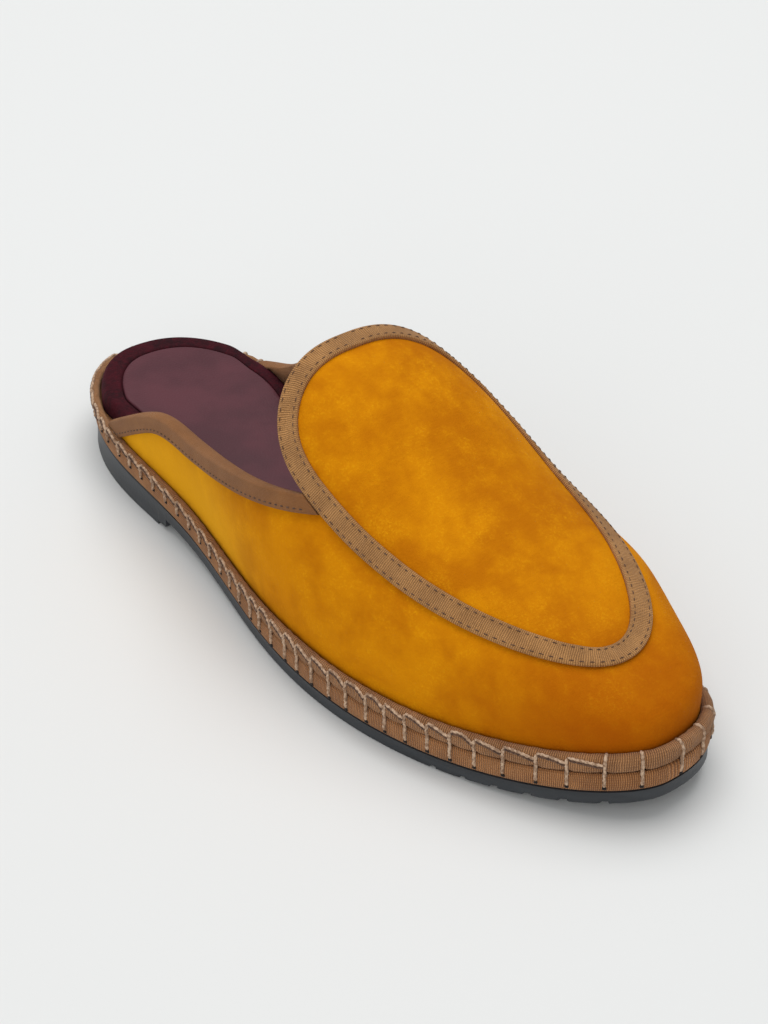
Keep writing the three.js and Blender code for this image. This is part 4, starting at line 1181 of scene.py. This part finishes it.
def blanketStitches():
    # Upright strands from a hole in the midsole over the roll to the velvet, and slanted links between them,
    # each doubled by a dark strand lower on the roll
    at, total = weltReader()
    places = stitchPlaces(total)
    random = np.random.default_rng(weltLook["leanSeed"])
    cord, steps, sideShare = weltLook["cord"], np.linspace(0, 1, 25), weltLook["sideShare"]
    lean = random.uniform(-weltLook["lean"], weltLook["lean"], len(places))[:, None]
    turn, base, away = at(places[:, None] + lean * (steps[None, :] - 0.4))
    x = base[..., 0]
    onSide = np.clip(steps / sideShare, 0, 1)[None, :]
    sideReach = size["midsoleProud"] + lerp(-cord, cord * 0.5, smoothStep(0, 0.25, onSide))
    side = weltPoint(base, away, sideReach, lerp(holeHeight(x), midsoleTop(x) - 0.2, onSide))
    linked = (at(places)[0] < weltLook["linkEnd"]) & (np.arange(len(places)) < len(places) / 2)
    last = np.where(linked & ~np.roll(~linked, 1), weltLook["linkTop"], weltLook["overEnd"])[:, None]
    angle = lerp(weltLook["rollStart"], last, np.clip((steps - sideShare) / (1 - sideShare), 0, 1)[None, :])
    over = overRoll(turn, base, away, angle, cord * 0.45, 1 - weltLook["pinch"] / 2)
    blend = smoothStep(sideShare - weltLook["sideBlend"], sideShare + weltLook["sideBlend"], steps)
    uprights = lerp(side, over, blend[None, :, None])

    nextPlaces = np.roll(places, -1)
    nextPlaces[-1] += total
    slack = random.uniform(-weltLook["slack"], weltLook["slack"], len(places))[:, None]
    strands = []
    # Each link's second strand lies a little aside and lower on the roll in dark thread: a darker ply and
    # painted shadow under the beige link
    for aside, drop in ((0.0, 0.0), (weltLook["shadowPlyAside"], weltLook["shadowPlyDrop"])):
        turn, base, away = at(lerp(places[:, None] + aside, nextPlaces[:, None] - 0.1, steps[None, :]))
        bow = (slack + 0.2) * np.sin(np.pi * steps)[None, :]
        angle = lerp(weltLook["linkTop"], weltLook["linkLow"], steps[None, :]) + bow
        angle = angle + drop * 2 / (rollHeight(base[..., 0]) + 1)
        strands.append(overRoll(turn, base, away, angle, cord * 0.4, 1.0)[linked])
    return [uprights] + strands


def stitchHoles():
    # A small dark dimple where each cord comes out of the midsole's side, painted shadow inside the stitch
    # hole
    at, total = weltReader()
    _, base, away = at(stitchPlaces(total))
    sunk = weltLook["holeSunk"]
    steps = np.linspace(-1, 1, 7)[None, :, None] * weltLook["holeReach"]
    onward = np.stack([-away[:, 1], away[:, 0]], axis=-1)
    plan = base[:, None] + away[:, None] * (size["midsoleProud"] - sunk) + onward[:, None] * steps
    height = np.broadcast_to((holeHeight(base[:, 0]) - sunk)[:, None, None], plan.shape[:2] + (1,))
    return np.concatenate([plan, height], axis=2)


makeRoll()
makeMidsole()
cordLooks = [  # name, share of the cord's radius, thread, sides, lobes
    ("uprightStitches", 1.0, stitchCord, 10, 0.22), ("linkStitches", 0.85, stitchCord, 10, 0.22),
    # The dark links are a darker ply and painted shadow under the beige links
    ("shadowPlyLinks", 0.85, seamThread, 8, 0.15),
]
for cordPaths, (cordName, share, thread, sides, lobes) in zip(blanketStitches(), cordLooks):
    makeTubes(cordName, cordPaths, weltLook["cord"] * share, thread, "welt_tape", sides=sides, lobes=lobes,
              twist=weltLook["twist"])
# Dark tubes sunk at the stitch holes: painted shadow in the holes
makeTubes("stitchHoles", stitchHoles(), weltLook["holeRadius"], holeShade, "midsole_tape", sides=8)
print("welt made")


# Footbed: wine velvet rim with a leather pad in its recess

footbedLook = {"rimSteps": 360, "shoulder": 2.0, "shoulderLow": 0.45, "rimEnd": 0.3, "padSteps": 300,
               "padEdge": 0.9, "padLow": 0.35, "padAcross": 24, "roundTo": 0.55}


def makeInsole():
    # Rounded shoulder, level rim, then down into the pad's recess
    turns = np.linspace(0, 1, footbedLook["rimSteps"])
    shoulder, rim = footbedLook["shoulder"], size["rimWidth"]
    angle = np.linspace(0, np.pi / 2, 7)
    inset = np.concatenate([[0.0, 0.0], shoulder * (1 - np.cos(angle)), [shoulder + 1.5, rim - 1.0],
                            [rim - footbedLook["rimEnd"], rim, rim + size["gap"]]])
    rise = np.concatenate([[0.0, 0.2], footbedLook["shoulderLow"] + footbedLook["roundTo"] * np.sin(angle),
                           [1.0, 1.0, 0.985, 0.95]])

    def heights(x):
        low = midsoleTop(x) + size["gap"]
        body = lerp(low[:, :-1], insoleTop(x[:, :-1]), rise[None, :])
        return np.concatenate([body, insoleTop(x[:, -1:]) - size["padInlay"]], axis=1)

    grid = layerGrid(turns, insoleInset(turns)[:, None] + inset[None, :], heights)
    makePiece(grid, "footbedRim", wineVelvet, "insole", "footbed_velvet", wrapColumns=True)


def makePad():
    # Thin level pad with a rolled-down edge, laid in the recess
    turns = np.linspace(0, 1, footbedLook["padSteps"])
    start = (insoleInset(turns) + size["rimWidth"] + size["gap"] * 2)[:, None]
    angle = np.linspace(0, np.pi / 2, 6)
    inset = np.concatenate([[0.0], footbedLook["padEdge"] * (1 - np.cos(angle)), [2.0, 4.0]])
    rise = np.concatenate([[0.0], footbedLook["padLow"] + footbedLook["roundTo"] * np.sin(angle),
                           [0.96, 1.0]])
    low = size["gap"] / 3 - size["padInlay"]
    grid = layerGrid(turns, start + inset[None, :],
                     lambda x: insoleTop(x) + low + size["padThickness"] * rise[None, :],
                     across=footbedLook["padAcross"])
    makePiece(grid, "sockPad", padLeather, "sock_pad", "pad_leather", wrapColumns=True)


makeInsole()
makePad()
print("footbed made")


# Rubber outsole with its heel, breast lug and tread notches

outsoleLook = {"steps": 420, "edge": 0.5, "lugLength": 4.5, "lugClear": 1.2, "grooveEdge": 0.03,
               "sideInsets": [0.12, 0.18, 0.1, 0.0, 0.25], "sideRise": np.array([0.3, 0.6, 0.85, 0.96, 1.0])}


def makeOutsole():
    # One closed layer whose underside steps at the heel breast and at every groove
    grooves = [size["soleLength"] - size["treadPitch"] * (i + 1) for i in range(size["treadGrooves"])]
    half, sharp = size["treadGroove"] / 2, outsoleLook["grooveEdge"]
    breast, lugEnd = size["heelLength"], size["heelLength"] + outsoleLook["lugLength"]
    marks = [breast - sharp, breast + sharp, lugEnd - sharp, lugEnd + sharp]
    for groove in grooves:
        marks += [groove - half - sharp, groove - half + sharp, groove + half - sharp, groove + half + sharp]
    turns = np.unique(np.concatenate([np.linspace(0, 1, outsoleLook["steps"]), turnAt(np.array(marks), 0.0)]))

    def underside(x):
        low = rubberTop(x) - size["foreRubber"]
        low = np.where(x < breast, 0, np.where(x < lugEnd, outsoleLook["lugClear"], low))
        for groove in grooves:
            low = low + size["treadDepth"] * (np.abs(x - groove) < half)
        return low

    edgeSize = outsoleLook["edge"]
    angle = np.linspace(0, np.pi / 2, 4)
    insets = np.concatenate([edgeSize * (1 - np.sin(angle)), outsoleLook["sideInsets"]])

    def heights(x):
        low, top = underside(x), rubberTop(x)
        rounded = low[:, :4] + edgeSize * (1 - np.cos(angle))[None, :]
        side = lerp(low[:, 4:] + edgeSize, top[:, 4:], outsoleLook["sideRise"][None, :])
        return np.concatenate([rounded, side], axis=1)

    grid = layerGrid(turns, np.broadcast_to(insets, (len(turns), len(insets))), heights)
    piece = makePiece(grid, "rubberSole", rubber, "outsole", "rubber", weld=0.001, wrapColumns=True)
    piece.data.set_sharp_from_angle(angle=0.6)


makeOutsole()
print("outsole made")


# Floor, light and camera

stage = {"floor": (0.745, 0.755, 0.75, 1), "floorSize": 6.0, "world": (1.0, 1.0, 1.0, 1),
         "worldStrength": 0.46, "keySize": 1.6, "keyPower": 19.6, "keyPlace": (-0.35, 0.25, 1.5),
         "fillPower": 7.0, "fillPlace": (0.9, -1.1, 0.7), "fillSize": 1.2}
view = {"place": (0.7509, -0.56425, 0.6769), "aim": (0.006, 0.0, 0.0325), "lens": 140.0, "sensor": 36.0,
        "clipEnd": 20.0}


def makeStage():
    bpy.ops.mesh.primitive_plane_add(size=stage["floorSize"])
    floor = bpy.context.object
    floor.name = "floor"
    material, tree, shader, coordinates = newMaterial("paleFloor", Roughness=0.9, Specular_IOR_Level=0.1)
    pale = tuple(channel * 0.99 for channel in stage["floor"][:3]) + (1,)
    paint(tree, shader, noiseNode(tree, coordinates.outputs["Object"], 3.0, 2.0), stage["floor"], pale)
    floor.data.materials.append(material)
    world = bpy.data.worlds.new("studio")
    world.use_nodes = True
    background = world.node_tree.nodes["Background"].inputs
    background[0].default_value = stage["world"]
    background[1].default_value = stage["worldStrength"]
    bpy.context.scene.world = world


def addLight(name, place, power, width):
    data = bpy.data.lights.new(name, "AREA")
    data.energy, data.size, data.shape = power, width, "SQUARE"
    light = bpy.data.objects.new(name, data)
    light.location = place
    light.rotation_euler = (Vector((0, 0, 0.03)) - Vector(place)).to_track_quat("-Z", "Y").to_euler()
    bpy.context.scene.collection.objects.link(light)


def makeCamera():
    data = bpy.data.cameras.new("camera")
    data.lens, data.sensor_width = view["lens"], view["sensor"]
    data.clip_end = view["clipEnd"]
    camera = bpy.data.objects.new("camera", data)
    camera.location = view["place"]
    camera.rotation_euler = (Vector(view["aim"]) - Vector(view["place"])).to_track_quat("-Z", "Y").to_euler()
    bpy.context.scene.collection.objects.link(camera)
    bpy.context.scene.camera = camera


bpy.context.scene.view_settings.view_transform = "Standard"
makeStage()
addLight("keyLight", stage["keyPlace"], stage["keyPower"], stage["keySize"])
addLight("fillLight", stage["fillPlace"], stage["fillPower"], stage["fillSize"])
makeCamera()
print("stage made")
